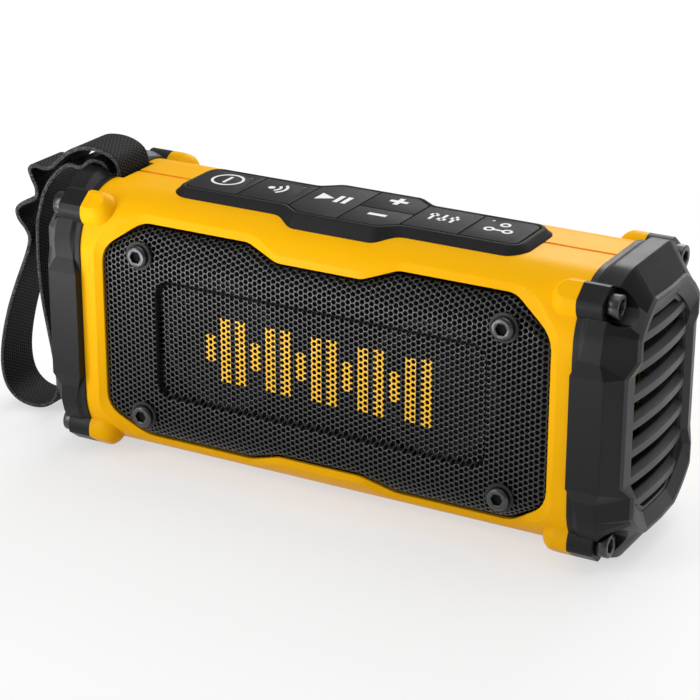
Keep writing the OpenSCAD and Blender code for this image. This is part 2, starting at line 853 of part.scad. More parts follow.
module radiator_plate(left) {
  plate_t = 2.4;
  plate_gap = 0.05;
  lap = 1.6;
  seat = radiator_face + surround_t + plate_gap;
  color(dark) stand() flip_x(left)
    along_x(seat, seat + plate_t) track(radiator_w - 2 * roll_w - lap, radiator_h - 2 * roll_w - lap);
}
module left_radiator_plate() { radiator_plate(true); }
module right_radiator_plate() { radiator_plate(false); }

// Drivers, drawn with +Z towards the front and z = 0 at the baffle's back face

gasket_t = 0.8;
flange_depth = 2;
basket_depth = 22;
basket_wall = 1.6;
magnet_r = 20;
magnet_depth = 14;
coil_r = 9.2;
coil_t = 1;
gap_r = 11.5;
pole_r = 8.2;
driver_lap = 1.2;

module at_driver(left) {
  translate([left ? -driver_dx : driver_dx, -baffle_back, 0]) rotate([90, 0, 0]) children();
}

module driver_gasket(left) {
  color(dark) stand() at_driver(left) rotate_extrude()
    translate([driver_hole_r + driver_lap + fit, -gasket_t])
      square([driver_flange_r - driver_hole_r - driver_lap - fit, gasket_t]);
}
module left_driver_gasket() { driver_gasket(true); }
module right_driver_gasket() { driver_gasket(false); }

module driver_basket(left) {
  gap_w = 16;
  gaps = 4;
  gap_edge = 5;
  top = -gasket_t;
  foot_r = magnet_r + 2.5;
  foot_h = 2;
  color(steel) stand() at_driver(left) difference() {
    rotate_extrude() polygon([
      [driver_hole_r, top], [driver_flange_r, top], [driver_flange_r, top - flange_depth],
      [driver_hole_r + basket_wall, top - flange_depth], [foot_r, foot_h - basket_depth],
      [foot_r, -basket_depth], [gap_r, -basket_depth], [gap_r, basket_wall - basket_depth],
      [foot_r - basket_wall, basket_wall - basket_depth], [driver_hole_r, top - flange_depth]
    ]);
    for (i = [0:gaps - 1]) rotate(45 + i * 360 / gaps)
      translate([coil_r, -gap_w / 2, gap_edge - basket_depth])
        cube([driver_flange_r, gap_w, basket_depth - 2 * gap_edge]);
  }
}
module left_driver_basket() { driver_basket(true); }
module right_driver_basket() { driver_basket(false); }

module driver_magnet(left) {
  yoke_t = 3;
  pole_rise = 1.5;
  back = -basket_depth - magnet_depth;
  color(steel) stand() at_driver(left) rotate_extrude() polygon([
    [0, back], [magnet_r, back], [magnet_r, -basket_depth], [gap_r, -basket_depth],
    [gap_r, back + yoke_t], [pole_r, back + yoke_t], [pole_r, pole_rise - basket_depth],
    [0, pole_rise - basket_depth]
  ]);
}
module left_driver_magnet() { driver_magnet(true); }
module right_driver_magnet() { driver_magnet(false); }

// Cone, coil former and dust cap, which move together
module driver_cone(left) {
  paper = 0.9;
  rim_w = 1.4;
  rim_r = cone_r - 0.2;
  rim_z = -gasket_t - shank_play;
  neck_z = -13;
  coil_z = -28;
  cap_rise = 3.2;
  outer = coil_r + coil_t;
  dome = [for (t = [0.2:0.2:1]) [outer * (1 - t), neck_z + cap_rise * sin(90 * t)]];
  under = [for (t = [1:-0.2:0.2]) [coil_r * (1 - t), neck_z - paper + cap_rise * sin(90 * t)]];
  color(dark) stand() at_driver(left) rotate_extrude() polygon(concat(
    [[coil_r, coil_z], [outer, coil_z], [outer, neck_z - paper], [rim_r - rim_w, rim_z - paper],
      [rim_r, rim_z - paper], [rim_r, rim_z], [rim_r - rim_w, rim_z], [outer, neck_z]],
    dome, under, [[coil_r, neck_z - paper]]));
}
module left_driver_cone() { driver_cone(true); }
module right_driver_cone() { driver_cone(false); }

module driver_surround(left) {
  roll_r = (driver_hole_r - cone_r) / 2 - 0.25;
  sheet = 0.7;
  inner_lap = 1.5;
  color(dark) stand() at_driver(left) rotate_extrude() {
    translate([cone_r + roll_r, -gasket_t]) half_ring(roll_r, sheet);
    translate([cone_r - inner_lap, -gasket_t]) square([inner_lap + sheet, sheet]);
    translate([cone_r + 2 * roll_r - sheet, -gasket_t])
      square([driver_hole_r + driver_lap - cone_r - 2 * roll_r + sheet, sheet]);
  }
}
module left_driver_surround() { driver_surround(true); }
module right_driver_surround() { driver_surround(false); }

// Keypad

key_columns = 6;
key_w = key_pitch - key_gap;
keys_half_w = (key_columns * key_pitch - key_gap) / 2;
keypad_mid_slope = 8;
keypad_r = 8.4;
keypad_top = half_h + keypad_rise;
groove = 0.4;
key_lip = 0.8;
lip_drop = 3;
lip_top = keypad_top - lip_drop;
lip_t = 1.4;

module at_keypad() { translate([0, -keypad_shift, mid_z]) children(); }

// Outline of the keypad's foot grown by g, with round corners that are each cut once and then rounded
round_cut = 0.6;
function keypad_outline(g) =
  let (lean = atan(key_step / keypad_mid_slope), r = keypad_r + g)
  rounded(stepped_outline(keys_half_w + keypad_margin + g, key_d / 2 + keypad_margin + g,
    keypad_mid_w / 2 + g * tan(lean / 2), keypad_mid_slope, key_step, r * round_cut, r * round_cut), r);
function keypad_ring(g, z) = [for (p = keypad_outline(g)) [p.x, p.y, z]];
function key_area(g) = keypad_outline(g - keypad_margin);

// Keys as [column, near edge, far edge], front to back, with room for their lips
half_reach = key_d / 2 + key_step + key_lip;
power = [0, -half_reach, half_reach];
pairing = [1, -half_reach, half_reach];
play = [2, -half_reach, half_reach];
volume_up = [3, key_gap / 2, half_reach];
volume_down = [3, -half_reach, -key_gap / 2];
tone = [4, -half_reach, half_reach];
link = [5, -half_reach, half_reach];
all_keys = [power, pairing, play, volume_up, volume_down, tone, link];

function key_x(k) = (k[0] - (key_columns - 1) / 2) * key_pitch;

module key_plan(k, g) {
  intersection() {
    polygon(key_area(g));
    translate([key_x(k) - key_w / 2, k[1]]) square([key_w, k[2] - k[1]]);
  }
}

// Sloping ring round the keys, whose foot follows the body's surface
module keypad_frame() {
  foot_sink = 0.2;
  foot = [for (p = keypad_outline(0)) [p.x, p.y, top_z(p.y - keypad_shift) - foot_sink]];
  color(black) at_keypad() difference() {
    loft([keypad_ring(0, ledge_z), foot, keypad_ring(-keypad_slope, keypad_top)]);
    along_z(ledge_z - 1, keypad_top + 1) polygon(key_area(groove));
    along_z(ledge_z - 1, lip_top + fit) polygon(key_area(groove + key_lip));
  }
}

stem_r = 2.5;
switch_size = 6;
switch_h = 2.1;
stem_gap = 0.1;
key_board_drop = 3.3;
key_board_top = ledge_z - ledge_t - key_board_drop;
key_post_inset = 4;
key_post_x = keys_half_w - key_post_inset;
key_post_y = key_d / 2 + keypad_margin - ledge_w + 1;
light_r = 0.8;
light_depth = 1.3;
light_inset_x = 5;
light_inset_y = 3.3;

// Middle of a key, front to back: only the two middle columns use the extra reach
function key_middle(k) =
  let (reach = abs(key_x(k)) < key_pitch ? half_reach : key_d / 2)
  (max(k[1], -reach) + min(k[2], reach)) / 2;

module light_place(k, side) {
  x = key_x(k) + side * (key_w / 2 - light_inset_x);
  translate([x, key_d / 2 - light_inset_y, keypad_top - light_depth]) children();
}

// One key: the top, a lip under the frame and a stem above its switch. side places its light, if any
module key(k, side = 0) {
  color(black) at_keypad() difference() {
    union() {
      along_z(lip_top, keypad_top) key_plan(k, 0);
      along_z(lip_top - lip_t, lip_top) key_plan(k, key_lip);
      translate([key_x(k), key_middle(k), key_board_top + switch_h + key_travel + stem_gap])
        cylinder(h = lip_top - lip_t + merge - key_board_top - switch_h - key_travel - stem_gap, r = stem_r);
    }
    if (side != 0) light_place(k, side) cylinder(h = light_depth + 1, r = light_r + shank_play);
  }
}
module power_key() { key(power, 1); }
module pairing_key() { key(pairing, 1); }
module play_key() { key(play); }
module volume_up_key() { key(volume_up); }
module volume_down_key() { key(volume_down); }
module tone_key() { key(tone); }
module link_key() { key(link, -1); }

module key_light(k, side) {
  below = 0.1;
  color(white) at_keypad() light_place(k, side) cylinder(h = light_depth - below, r = light_r);
}
module power_light() { key_light(power, 1); }
module pairing_light() { key_light(pairing, 1); }
module link_light() { key_light(link, -1); }

module key_board() {
  color(board_green) at_keypad() along_z(key_board_top - board_t, key_board_top)
    square([2 * (key_post_x + 2 * key_post_r), 2 * (key_post_y + key_post_r)], center = true);
}

module key_switches() {
  color(steel) at_keypad() for (k = all_keys) translate([key_x(k), key_middle(k), key_board_top])
    translate([-switch_size / 2, -switch_size / 2, 0]) cube([switch_size, switch_size, switch_h]);
}

// Electronics on the back shell

board_inset = 13.5;
board_y = half_d - board_inset;
board_x = 40;
board_z = -3;
board_post_r = 3;
board_post_inset = 4.5;
board_screw_r = 1.4;
board_head_r = 2.8;
board_head_h = 1.8;
post_hole = 6;

module board_corners() {
  for (x = [-1, 1], z = [-1, 1]) translate([board_x + x * (board_w / 2 - board_post_inset), 0,
    board_z + z * (board_h / 2 - board_post_inset)]) children();
}
module board_posts() { board_corners() rod_y(0, 0, board_y + board_t, half_d - wall + merge, board_post_r); }
module board_post_holes() {
  board_corners() rod_y(0, 0, board_y, board_y + board_t + post_hole, board_screw_r + shank_play);
}

module main_board() {
  color(board_green) stand() difference() {
    translate([board_x - board_w / 2, board_y, board_z - board_h / 2]) cube([board_w, board_t, board_h]);
    board_corners() rod_y(0, 0, 0, half_d, board_screw_r + fit);
  }
}

module board_screws() {
  color(steel) stand() board_corners() {
    rod_y(0, 0, board_y - board_head_h, board_y, board_head_r);
    rod_y(0, 0, board_y, board_y + board_t + post_hole - 1, board_screw_r);
  }
}

// Finned block that cools the amplifier
sink_w = 36;
sink_h = 24;
sink_base = 2;
sink_rise = 2;
fin_t = 1.4;
fin_depth = 9;
fins = 6;

module heat_sink() {
  color(steel) stand() translate([board_x - sink_w / 2, board_y - sink_base, board_z + sink_rise]) {
    cube([sink_w, sink_base, sink_h]);
    for (i = [0:fins - 1]) translate([i * (sink_w - fin_t) / (fins - 1), -fin_depth, 0])
      cube([fin_t, fin_depth + merge, sink_h]);
  }
}

holder_t = 2;
cell_y = half_d - wall - fit - holder_t - fit - cell_d / 2;
cell_shift = 2;
cell_gap = 1;
cell_x = -driver_dx + cell_shift;
cell_pitch = cell_d + cell_gap;
cells = 2;

module battery_holder() {
  length = cell_len + 2 * fit;
  height = cells * cell_pitch + 2 * cell_gap;
  back = half_d - wall - fit;
  end_x = (length + holder_t) / 2;
  end_y = cell_y - cell_d / 4;
  color(dark) stand() {
    translate([cell_x - length / 2 - holder_t, back - holder_t, -height / 2])
      cube([length + 2 * holder_t, holder_t, height]);
    for (s = [-1, 1]) translate([cell_x + s * end_x - holder_t / 2, end_y, -height / 2])
      cube([holder_t, back - end_y, height]);
  }
}

module battery_cells() {
  tip_r = 3;
  tip_h = 0.2;
  color([0.2, 0.35, 0.6]) stand() for (i = [0:cells - 1])
    let (z = (i - (cells - 1) / 2) * cell_pitch) {
      rod_x(cell_y, z, cell_x - cell_len / 2, cell_x + cell_len / 2 - tip_h, cell_d / 2);
      rod_x(cell_y, z, cell_x + cell_len / 2 - tip_h - merge, cell_x + cell_len / 2, tip_r);
    }
}

// Charging port with its hinged cover

port_inset_x = 24;
port_inset_z = 12;
port_x = board_x + board_w / 2 - port_inset_x;
port_z = board_z - board_h / 2 + port_inset_z;
port_gap = 0.3;
pin_r = 0.6;
barrel_r = 1.5;
port_floor = panel_y - port_cover_t - port_gap;
hinge_inset = 1.3;
hinge_drop = 0.4;
hinge_y = panel_y - hinge_inset;
hinge_z = port_z + port_h / 2 - barrel_r - hinge_drop;
pin_hold = 3;
socket_w = 9.2;
socket_h = 3.6;
socket_wall = 0.4;
socket_z = port_z - 1;

module port_block() {
  margin = 3.5;
  depth = 3;
  translate([port_x - port_w / 2 - margin, port_floor - depth, port_z - port_h / 2 - margin])
    cube([port_w + 2 * margin, half_d - wall + merge - port_floor + depth, port_h + 2 * margin]);
}

module socket_section(g) { rounded_rect(socket_w + 2 * g, socket_h + 2 * g, socket_h / 2 + g); }

module port_pocket() {
  translate([port_x - port_w / 2, port_floor, port_z - port_h / 2]) cube([port_w, body_d, port_h]);
  rod_x(hinge_y, hinge_z, port_x - port_w / 2, port_x + port_w / 2, barrel_r + fit);
  rod_x(hinge_y, hinge_z, port_x - port_w / 2 - pin_hold, port_x + port_w / 2 + pin_hold, pin_r + shank_play);
  translate([port_x, 0, socket_z]) along_y(board_y + board_t, half_d) socket_section(fit);
}

module usb_socket() {
  tongue = [6.4, 0.7];
  tongue_set = 1;
  back_t = 1;
  inner = port_floor - fit;
  color(steel) stand() translate([port_x, 0, socket_z]) {
    along_y(board_y + board_t, inner) difference() {
      socket_section(0);
      socket_section(-socket_wall);
    }
    along_y(board_y + board_t, board_y + board_t + back_t) socket_section(-socket_wall / 2);
    along_y(board_y + board_t, inner - tongue_set) square(tongue, center = true);
  }
}

module port_cover() {
  width = port_w - 2 * fit;
  bottom = port_z - port_h / 2 + fit;
  tab_r = 3;
  tab_depth = 0.8;
  color(black) stand() difference() {
    union() {
      translate([port_x - width / 2, panel_y - port_cover_t, bottom])
        cube([width, port_cover_t, hinge_z - bottom]);
      rod_x(hinge_y, hinge_z, port_x - width / 2, port_x + width / 2, barrel_r);
    }
    rod_x(hinge_y, hinge_z, port_x - port_w, port_x + port_w, pin_r + shank_play);
    rod_y(port_x, bottom, panel_y - tab_depth, half_d, tab_r);
  }
}

module port_hinge_pin() {
  reach = port_w / 2 + pin_hold - fit;
  color(steel) stand() rod_x(hinge_y, hinge_z, port_x - reach, port_x + reach, pin_r);
}

// Strap

bar_out = 2.3;
bar_drop = 1.5;
bar_x = -half_len - bar_out;
bar_z = half_h - bar_drop;
bar_gap = 0.25;
bar_hold = 3.5;
loop_r = bar_d / 2 + bar_gap + strap_t / 2;

module strap_bar_shape(play) {
  translate([bar_x, 0, bar_z]) rotate([90, 0, 0])
    cylinder(h = slot_w + 2 * bar_hold, r = bar_d / 2 + play, center = true);
}

// Solid ends inside the left cap that hold the bar, drawn as for the right cap
module strap_bar_blocks() {
  depth = 5;
  width = bar_hold + 1;
  front_and_back() translate([half_len, slot_w / 2, bar_z - depth]) cube([cap_slot_len, width, 2 * depth]);
}

module cap_slot() {
  depth = 8;
  translate([-half_len - cap_slot_len, -slot_w / 2, bar_z - depth])
    cube([cap_slot_len + 1, slot_w, 2 * depth]);
}

module strap_bar() { color(steel) stand() strap_bar_shape(0); }

// The strap's route seen from the front, as [x, z] from its bar: up out of the slot, over the cap, two
// folds, the hanging loop, and back up and over the cap into the slot. A third number, where the strap
// is twisted, says how far its back edge stands out of the route
route = [
  [2.6, 4], [0.8, 7.8], [-3.7, 10.3], [-9.7, 11.3], [-16.7, 10.5], [-22.7, 7.8, 0.6], [-27.7, 3.8, 1.6],
  [-31.7, 0.3, 2.2], [-35.7, -1, 1.6], [-40.2, -0.5, 0.6], [-43.2, -2.4], [-42.3, -6], [-40.3, -10.2],
  [-40.3, -14], [-42.7, -16.2], [-47.7, -18.7], [-50.9, -21.8], [-50.1, -25.8], [-46.5, -30],
  [-45, -34.5], [-47.3, -42.3], [-53.2, -56], [-58.5, -70], [-62.3, -84.6], [-63.5, -96],
  [-61.7, -105], [-56.7, -110.4], [-49.7, -112.4], [-42.2, -111.6], [-36.2, -107.6], [-33.7, -101],
  [-34.3, -93], [-35.9, -83], [-37.9, -72], [-39.7, -61], [-40.7, -49], [-40.9, -37], [-40.3, -26],
  [-38.5, -19, -0.6], [-36.3, -12, -1.6], [-32.7, -6, -2.2], [-28.3, -1.3, -1.6], [-24.1, 1.8, -0.6],
  [-20.8, 2.5], [-17.8, 2], [-15.2, 2.8], [-12.6, 5.2], [-10.2, 6.1], [-7.7, 6], [-5.2, 5.5], [-3.6, 3.7]
];
// The part below the bar is fitted to the room above the ground
route_drop = -min([for (p = route) p.y]);
strap_lift = 1.25;
strap_drop = bar_z + mid_z - strap_t / 2 - strap_lift;
function hung(p) = [p.x, p.y < 0 ? p.y * strap_drop / route_drop : p.y];
loop_turn = [for (a = [180:30:360]) loop_r * [cos(a), sin(a)]];
strap_path = [for (p = concat([for (q = route) hung(q)], loop_turn)) [bar_x, bar_z] + p];
strap_twist = [for (p = concat(route, loop_turn)) len(p) > 2 ? p[2] : 0];

// Closed ribbon along the path
module wrist_strap() {
  count = len(strap_path);
  normal = function(i)
    let (d = unit(strap_path[(i + 1) % count] - strap_path[(i + count - 1) % count])) [-d.y, d.x];
  points = [for (i = [0:count - 1]) for (c = [[1, 1], [-1, 1], [-1, -1], [1, -1]])
    let (p = strap_path[i] + normal(i) * (c[0] * strap_t + (c[1] + 1) * strap_twist[i]) / 2)
    [p.x, c[1] * strap_w / 2, p.y]];
  faces = [for (i = [0:count - 1]) for (k = [0:3])
    let (a = 4 * i, b = 4 * ((i + 1) % count), m = (k + 1) % 4)
    each [[a + k, b + k, a + m], [a + m, b + k, b + m]]];
  color(dark) stand() polyhedron(points, faces);
}

front_housing();
rear_housing();
housing_seal();
housing_screws();
baffle();
grille();
grille_washers();
grille_screws();
left_end_cap();
right_end_cap();
left_vent_louver();
right_vent_louver();
left_cap_screws();
right_cap_screws();
left_radiator_frame();
right_radiator_frame();
left_radiator_surround();
right_radiator_surround();
left_radiator_plate();
right_radiator_plate();
left_driver_gasket();
right_driver_gasket();
left_driver_basket();
right_driver_basket();
left_driver_magnet();
right_driver_magnet();
left_driver_cone();
right_driver_cone();
left_driver_surround();
right_driver_surround();
keypad_frame();
power_key();
pairing_key();
play_key();
volume_up_key();
volume_down_key();
tone_key();
link_key();
power_light();
pairing_light();
link_light();
key_board();
key_switches();
main_board();
board_screws();
heat_sink();
battery_holder();
battery_cells();
usb_socket();
port_cover();
port_hinge_pin();
strap_bar();
wrist_strap();
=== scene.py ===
import json
import math

import bmesh
import bpy
import numpy as np
from mathutils import Matrix, Vector

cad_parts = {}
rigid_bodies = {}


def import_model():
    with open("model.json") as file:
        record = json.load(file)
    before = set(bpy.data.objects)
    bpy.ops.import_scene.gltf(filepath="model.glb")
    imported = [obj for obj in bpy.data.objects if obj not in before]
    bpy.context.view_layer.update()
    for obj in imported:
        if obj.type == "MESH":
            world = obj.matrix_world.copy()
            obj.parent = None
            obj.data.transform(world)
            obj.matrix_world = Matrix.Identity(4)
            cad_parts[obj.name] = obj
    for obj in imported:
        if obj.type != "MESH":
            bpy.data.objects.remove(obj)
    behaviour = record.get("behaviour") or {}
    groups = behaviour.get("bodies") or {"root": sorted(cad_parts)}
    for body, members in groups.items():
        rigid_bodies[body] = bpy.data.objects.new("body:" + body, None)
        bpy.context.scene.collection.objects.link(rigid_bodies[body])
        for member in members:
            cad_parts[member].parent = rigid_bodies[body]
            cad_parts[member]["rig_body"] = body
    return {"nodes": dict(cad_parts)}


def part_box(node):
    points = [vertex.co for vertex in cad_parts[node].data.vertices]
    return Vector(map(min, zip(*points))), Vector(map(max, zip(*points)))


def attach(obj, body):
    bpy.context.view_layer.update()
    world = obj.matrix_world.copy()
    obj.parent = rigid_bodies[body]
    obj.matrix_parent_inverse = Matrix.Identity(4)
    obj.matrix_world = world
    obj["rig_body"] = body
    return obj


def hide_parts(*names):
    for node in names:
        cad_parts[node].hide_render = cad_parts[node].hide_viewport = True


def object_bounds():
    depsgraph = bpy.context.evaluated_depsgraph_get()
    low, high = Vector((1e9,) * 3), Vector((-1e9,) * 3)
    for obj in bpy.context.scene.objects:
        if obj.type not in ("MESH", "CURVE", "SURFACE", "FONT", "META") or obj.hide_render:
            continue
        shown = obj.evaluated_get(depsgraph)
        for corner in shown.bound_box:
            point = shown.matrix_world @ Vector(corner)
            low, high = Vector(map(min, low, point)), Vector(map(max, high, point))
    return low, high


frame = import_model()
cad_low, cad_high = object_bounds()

MM = 0.001
nodes = frame["nodes"]

# Sizes of the body in millimetres, from its middle
shell_low, shell_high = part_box("front_housing")
MID_Z = (shell_low.z + shell_high.z) / 2 / MM
HALF_LEN = shell_high.x / MM
HALF_D = -shell_low.y / MM
HALF_H = (shell_high.z - shell_low.z) / 2 / MM
EDGE_R = 25.0
EDGE_Y = HALF_D - EDGE_R
EDGE_Z = HALF_H - EDGE_R


# Shader helpers

def new_material(name):
    material = bpy.data.materials.new(name)
    material.use_nodes = True
    tree = material.node_tree
    return material, tree, tree.nodes["Principled BSDF"]


def add(tree, kind, **values):
    node = tree.nodes.new("ShaderNode" + kind)
    for key, value in values.items():
        node.inputs[key].default_value = value
    return node


def calculate(tree, operation, *values):
    """Result of a math node whose inputs are numbers or outputs of other nodes."""
    node = add(tree, "Math")
    node.operation = operation
    for socket, value in zip(node.inputs, values):
        if isinstance(value, (int, float)):
            socket.default_value = value
        else:
            tree.links.new(value, socket)
    return node.outputs[0]


def coordinates(tree, kind):
    return add(tree, "TexCoord").outputs[kind]


def axes_of(tree, vector):
    split = add(tree, "SeparateXYZ")
    tree.links.new(vector, split.inputs[0])
    return split.outputs["X"], split.outputs["Y"], split.outputs["Z"]


def ridges(tree, value):
    """Even ridges from 0 to 1, one for each whole step of the value."""
    wave = calculate(tree, "SINE", calculate(tree, "MULTIPLY", value, math.pi))
    return calculate(tree, "ABSOLUTE", wave)


def shade_between(tree, factor, low, high):
    """Colour mixed by a factor from two colours, each a tuple or the output of another node."""
    mix = add(tree, "Mix")
    mix.data_type = "RGBA"
    tree.links.new(factor, mix.inputs["Factor"])
    for socket, value in ((mix.inputs["A"], low), (mix.inputs["B"], high)):
        if isinstance(value, tuple):
            socket.default_value = (*value, 1)
        else:
            tree.links.new(value, socket)
    return mix.outputs["Result"]


def noise(tree, scale, detail=2.0):
    node = add(tree, "TexNoise", Scale=scale, Detail=detail)
    tree.links.new(coordinates(tree, "Object"), node.inputs["Vector"])
    return node.outputs["Fac"]


def bump(tree, bsdf, height, strength, distance):
    node = add(tree, "Bump", Strength=strength, Distance=distance)
    tree.links.new(height, node.inputs["Height"])
    tree.links.new(node.outputs["Normal"], bsdf.inputs["Normal"])
    return node


def uneven_gloss(tree, bsdf, pattern, least, spread):
    """Roughness that wanders with a pattern."""
    wear = calculate(tree, "MULTIPLY_ADD", pattern, spread, least)
    tree.links.new(wear, bsdf.inputs["Roughness"])


# Materials

def moulded(name, colour, roughness, mottle=0.05, grain=0.2, grain_size=0.25, specular=0.5, edge=0.0):
    """Plastic or rubber with uneven colour and a fine grain; grain_size and edge are in millimetres."""
    gloss_spread = 0.16
    material, tree, bsdf = new_material(name)
    low = tuple(c * (1 - mottle) for c in colour)
    high = tuple(min(1.0, c * (1 + mottle)) for c in colour)
    patches = noise(tree, scale=90.0, detail=4.0)
    tree.links.new(shade_between(tree, patches, low, high), bsdf.inputs["Base Color"])
    uneven_gloss(tree, bsdf, patches, least=roughness - gloss_spread / 2, spread=gloss_spread)
    bsdf.inputs["Specular IOR Level"].default_value = specular
    fine = noise(tree, scale=1 / (grain_size * MM))
    surface = bump(tree, bsdf, fine, strength=grain, distance=0.05 * MM)
    if edge:
        rounding = add(tree, "Bevel", Radius=edge * MM)
        rounding.samples = 4
        tree.links.new(rounding.outputs["Normal"], surface.inputs["Normal"])
    return material


def metal(name, colour, roughness):
    """Bare metal with uneven gloss and fine scratches."""
    gloss_spread = 0.2
    dull_share = 0.82
    material, tree, bsdf = new_material(name)
    bsdf.inputs["Metallic"].default_value = 1.0
    patches = noise(tree, scale=400.0, detail=3.0)
    dull = tuple(c * dull_share for c in colour)
    tree.links.new(shade_between(tree, patches, dull, colour), bsdf.inputs["Base Color"])
    uneven_gloss(tree, bsdf, patches, least=roughness - gloss_spread / 2, spread=gloss_spread)
    bump(tree, bsdf, noise(tree, scale=2500.0), strength=0.12, distance=0.03 * MM)
    return material


def level_bars(tree):
    """1 on a row of upright bars of changing height, printed on the sunk panel."""
    count = 15
    pitch = 7.0 * MM
    width_share = 0.66
    tallest = 15.0 * MM
    least_share = 0.38
    wave_step = 2.1
    x, _, z = axes_of(tree, coordinates(tree, "Object"))
    place = calculate(tree, "ADD", calculate(tree, "DIVIDE", x, pitch), count / 2)
    on_bar = calculate(tree, "LESS_THAN", calculate(tree, "FRACT", place), width_share)
    angle = calculate(tree, "MULTIPLY", calculate(tree, "FLOOR", place), wave_step)
    wave = calculate(tree, "ABSOLUTE", calculate(tree, "SINE", angle))
    share = calculate(tree, "MULTIPLY_ADD", wave, 1 - least_share, least_share)
    half_height = calculate(tree, "MULTIPLY", share, tallest)
    off_middle = calculate(tree, "ABSOLUTE", calculate(tree, "SUBTRACT", z, MID_Z * MM))
    in_height = calculate(tree, "LESS_THAN", off_middle, half_height)
    in_row = calculate(tree, "LESS_THAN", calculate(tree, "ABSOLUTE", x), count * pitch / 2)
    return calculate(tree, "MULTIPLY", calculate(tree, "MULTIPLY", on_bar, in_height), in_row)


def grille_paint():
    """Black satin paint on the grille, with the bars printed on it in yellow."""
    black = (0.008, 0.008, 0.009)
    print_yellow = (0.90, 0.50, 0.008)
    material, tree, bsdf = new_material("grille_paint")
    tree.links.new(shade_between(tree, level_bars(tree), black, print_yellow), bsdf.inputs["Base Color"])
    uneven_gloss(tree, bsdf, noise(tree, scale=700.0), least=0.19, spread=0.1)
    bsdf.inputs["Specular IOR Level"].default_value = 0.56
    bump(tree, bsdf, noise(tree, scale=5000.0), strength=0.15, distance=0.03 * MM)
    return material


def webbing():
    """Black woven webbing: rows of slanted stitches along the strap, and speckled edges."""
    row = 1.5 * MM
    stitch = 1.6 * MM
    slant = 0.5
    weave_power = 2.2
    speckle_power = 2.5
    edge_facing = 0.5
    gap = (0.002, 0.002, 0.002)
    yarn = (0.046, 0.046, 0.049)
    fray = (0.30, 0.30, 0.31)
    material, tree, bsdf = new_material("webbing")
    cloth = add(tree, "UVMap")
    cloth.uv_map = "cloth"
    length, width, _ = axes_of(tree, cloth.outputs["UV"])
    across = calculate(tree, "DIVIDE", width, row)
    shift = calculate(tree, "MULTIPLY", calculate(tree, "FLOOR", across), slant)
    along = calculate(tree, "ADD", calculate(tree, "DIVIDE", length, stitch), shift)
    crossings = calculate(tree, "MULTIPLY", ridges(tree, across), ridges(tree, along))
    weave = calculate(tree, "POWER", crossings, weave_power)
    face = shade_between(tree, weave, gap, yarn)
    _, facing, _ = axes_of(tree, coordinates(tree, "Normal"))
    on_edge = calculate(tree, "GREATER_THAN", calculate(tree, "ABSOLUTE", facing), edge_facing)
    speckle = calculate(tree, "POWER", noise(tree, scale=1300.0, detail=1.0), speckle_power)
    edge = shade_between(tree, speckle, gap, fray)
    tree.links.new(shade_between(tree, on_edge, face, edge), bsdf.inputs["Base Color"])
    bsdf.inputs["Roughness"].default_value = 0.72
    bsdf.inputs["Specular IOR Level"].default_value = 0.15
    bump(tree, bsdf, weave, strength=0.9, distance=0.14 * MM)
    return material


yellow = moulded("yellow_shell", (0.93, 0.46, 0.002), 0.34, mottle=0.02, grain=0.16, grain_size=0.3,
                 specular=0.05, edge=0.5)
charcoal = moulded("charcoal_cap", (0.009, 0.009, 0.010), 0.40, mottle=0.08, grain=0.14,
                   specular=0.22, edge=0.6)
louver_grey = moulded("louver_grey", (0.048, 0.048, 0.050), 0.42, mottle=0.06, grain=0.12,
                      specular=0.3, edge=0.3)
keypad_rubber = moulded("keypad_rubber", (0.010, 0.010, 0.011), 0.62, mottle=0.06, grain=0.12,
                        grain_size=0.2, specular=0.2)
mark_white = moulded("mark_white", (0.82, 0.82, 0.80), 0.5, mottle=0.03, grain=0.06)
lens = moulded("light_lens", (0.10, 0.10, 0.11), 0.25, mottle=0.04, grain=0.02)
seal_orange = moulded("seal_orange", (0.95, 0.22, 0.002), 0.5, mottle=0.05, grain=0.1, specular=0.1)
# Black of the inner parts; also painted shade on the shells' ends inside the caps, in the screw sockets,
# and on the grille's hole walls and bends
inner_black_and_shade = moulded("inner_black_and_shade", (0.006, 0.006, 0.007), 0.7, mottle=0.1, grain=0.2, specular=0.1)
soft_rubber = moulded("soft_rubber", (0.014, 0.014, 0.015), 0.6, mottle=0.1, grain=0.15)
cone_paper = moulded("cone_paper", (0.016, 0.016, 0.017), 0.75, mottle=0.2, grain=0.5, grain_size=0.4)
board_green = moulded("board_green", (0.015, 0.10, 0.045), 0.4, mottle=0.25, grain=0.1)
cell_wrap = moulded("cell_wrap", (0.03, 0.10, 0.26), 0.35, mottle=0.1, grain=0.05)
black_steel = metal("black_steel", (0.085, 0.085, 0.09), 0.32)
bright_steel = metal("bright_steel", (0.62, 0.62, 0.64), 0.3)
aluminium = metal("aluminium", (0.70, 0.71, 0.72), 0.38)
grille_black = grille_paint()
strap_black = webbing()


# Piece helpers

WELD = 0.004 * MM
TINY = 1e-12


def show(name, mesh, materials, body, replaced=(), sharp=35.0):
    """Adds a finished mesh as a piece that rides a CAD body and stands for the CAD nodes named."""
    for material in materials:
        mesh.materials.append(material)
    mesh.shade_smooth()
    mesh.set_sharp_from_angle(angle=math.radians(sharp))
    piece = bpy.data.objects.new(name, mesh)
    bpy.context.scene.collection.objects.link(piece)
    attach(piece, body)
    if replaced:
        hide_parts(*replaced)
    return piece


def show_for(node, ending, mesh, material, sharp):
    """Shows a mesh in place of one CAD node, on that node's body."""
    return show(node + ending, mesh, [material], nodes[node]["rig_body"], [node], sharp)


def mesh_of(name, points, faces):
    """Mesh from points in millimetres about the body's middle."""
    mesh = bpy.data.meshes.new(name)
    mesh.from_pydata([(x * MM, y * MM, (z + MID_Z) * MM) for x, y, z in points], [], faces)
    mesh.validate()
    mesh.update()
    return mesh


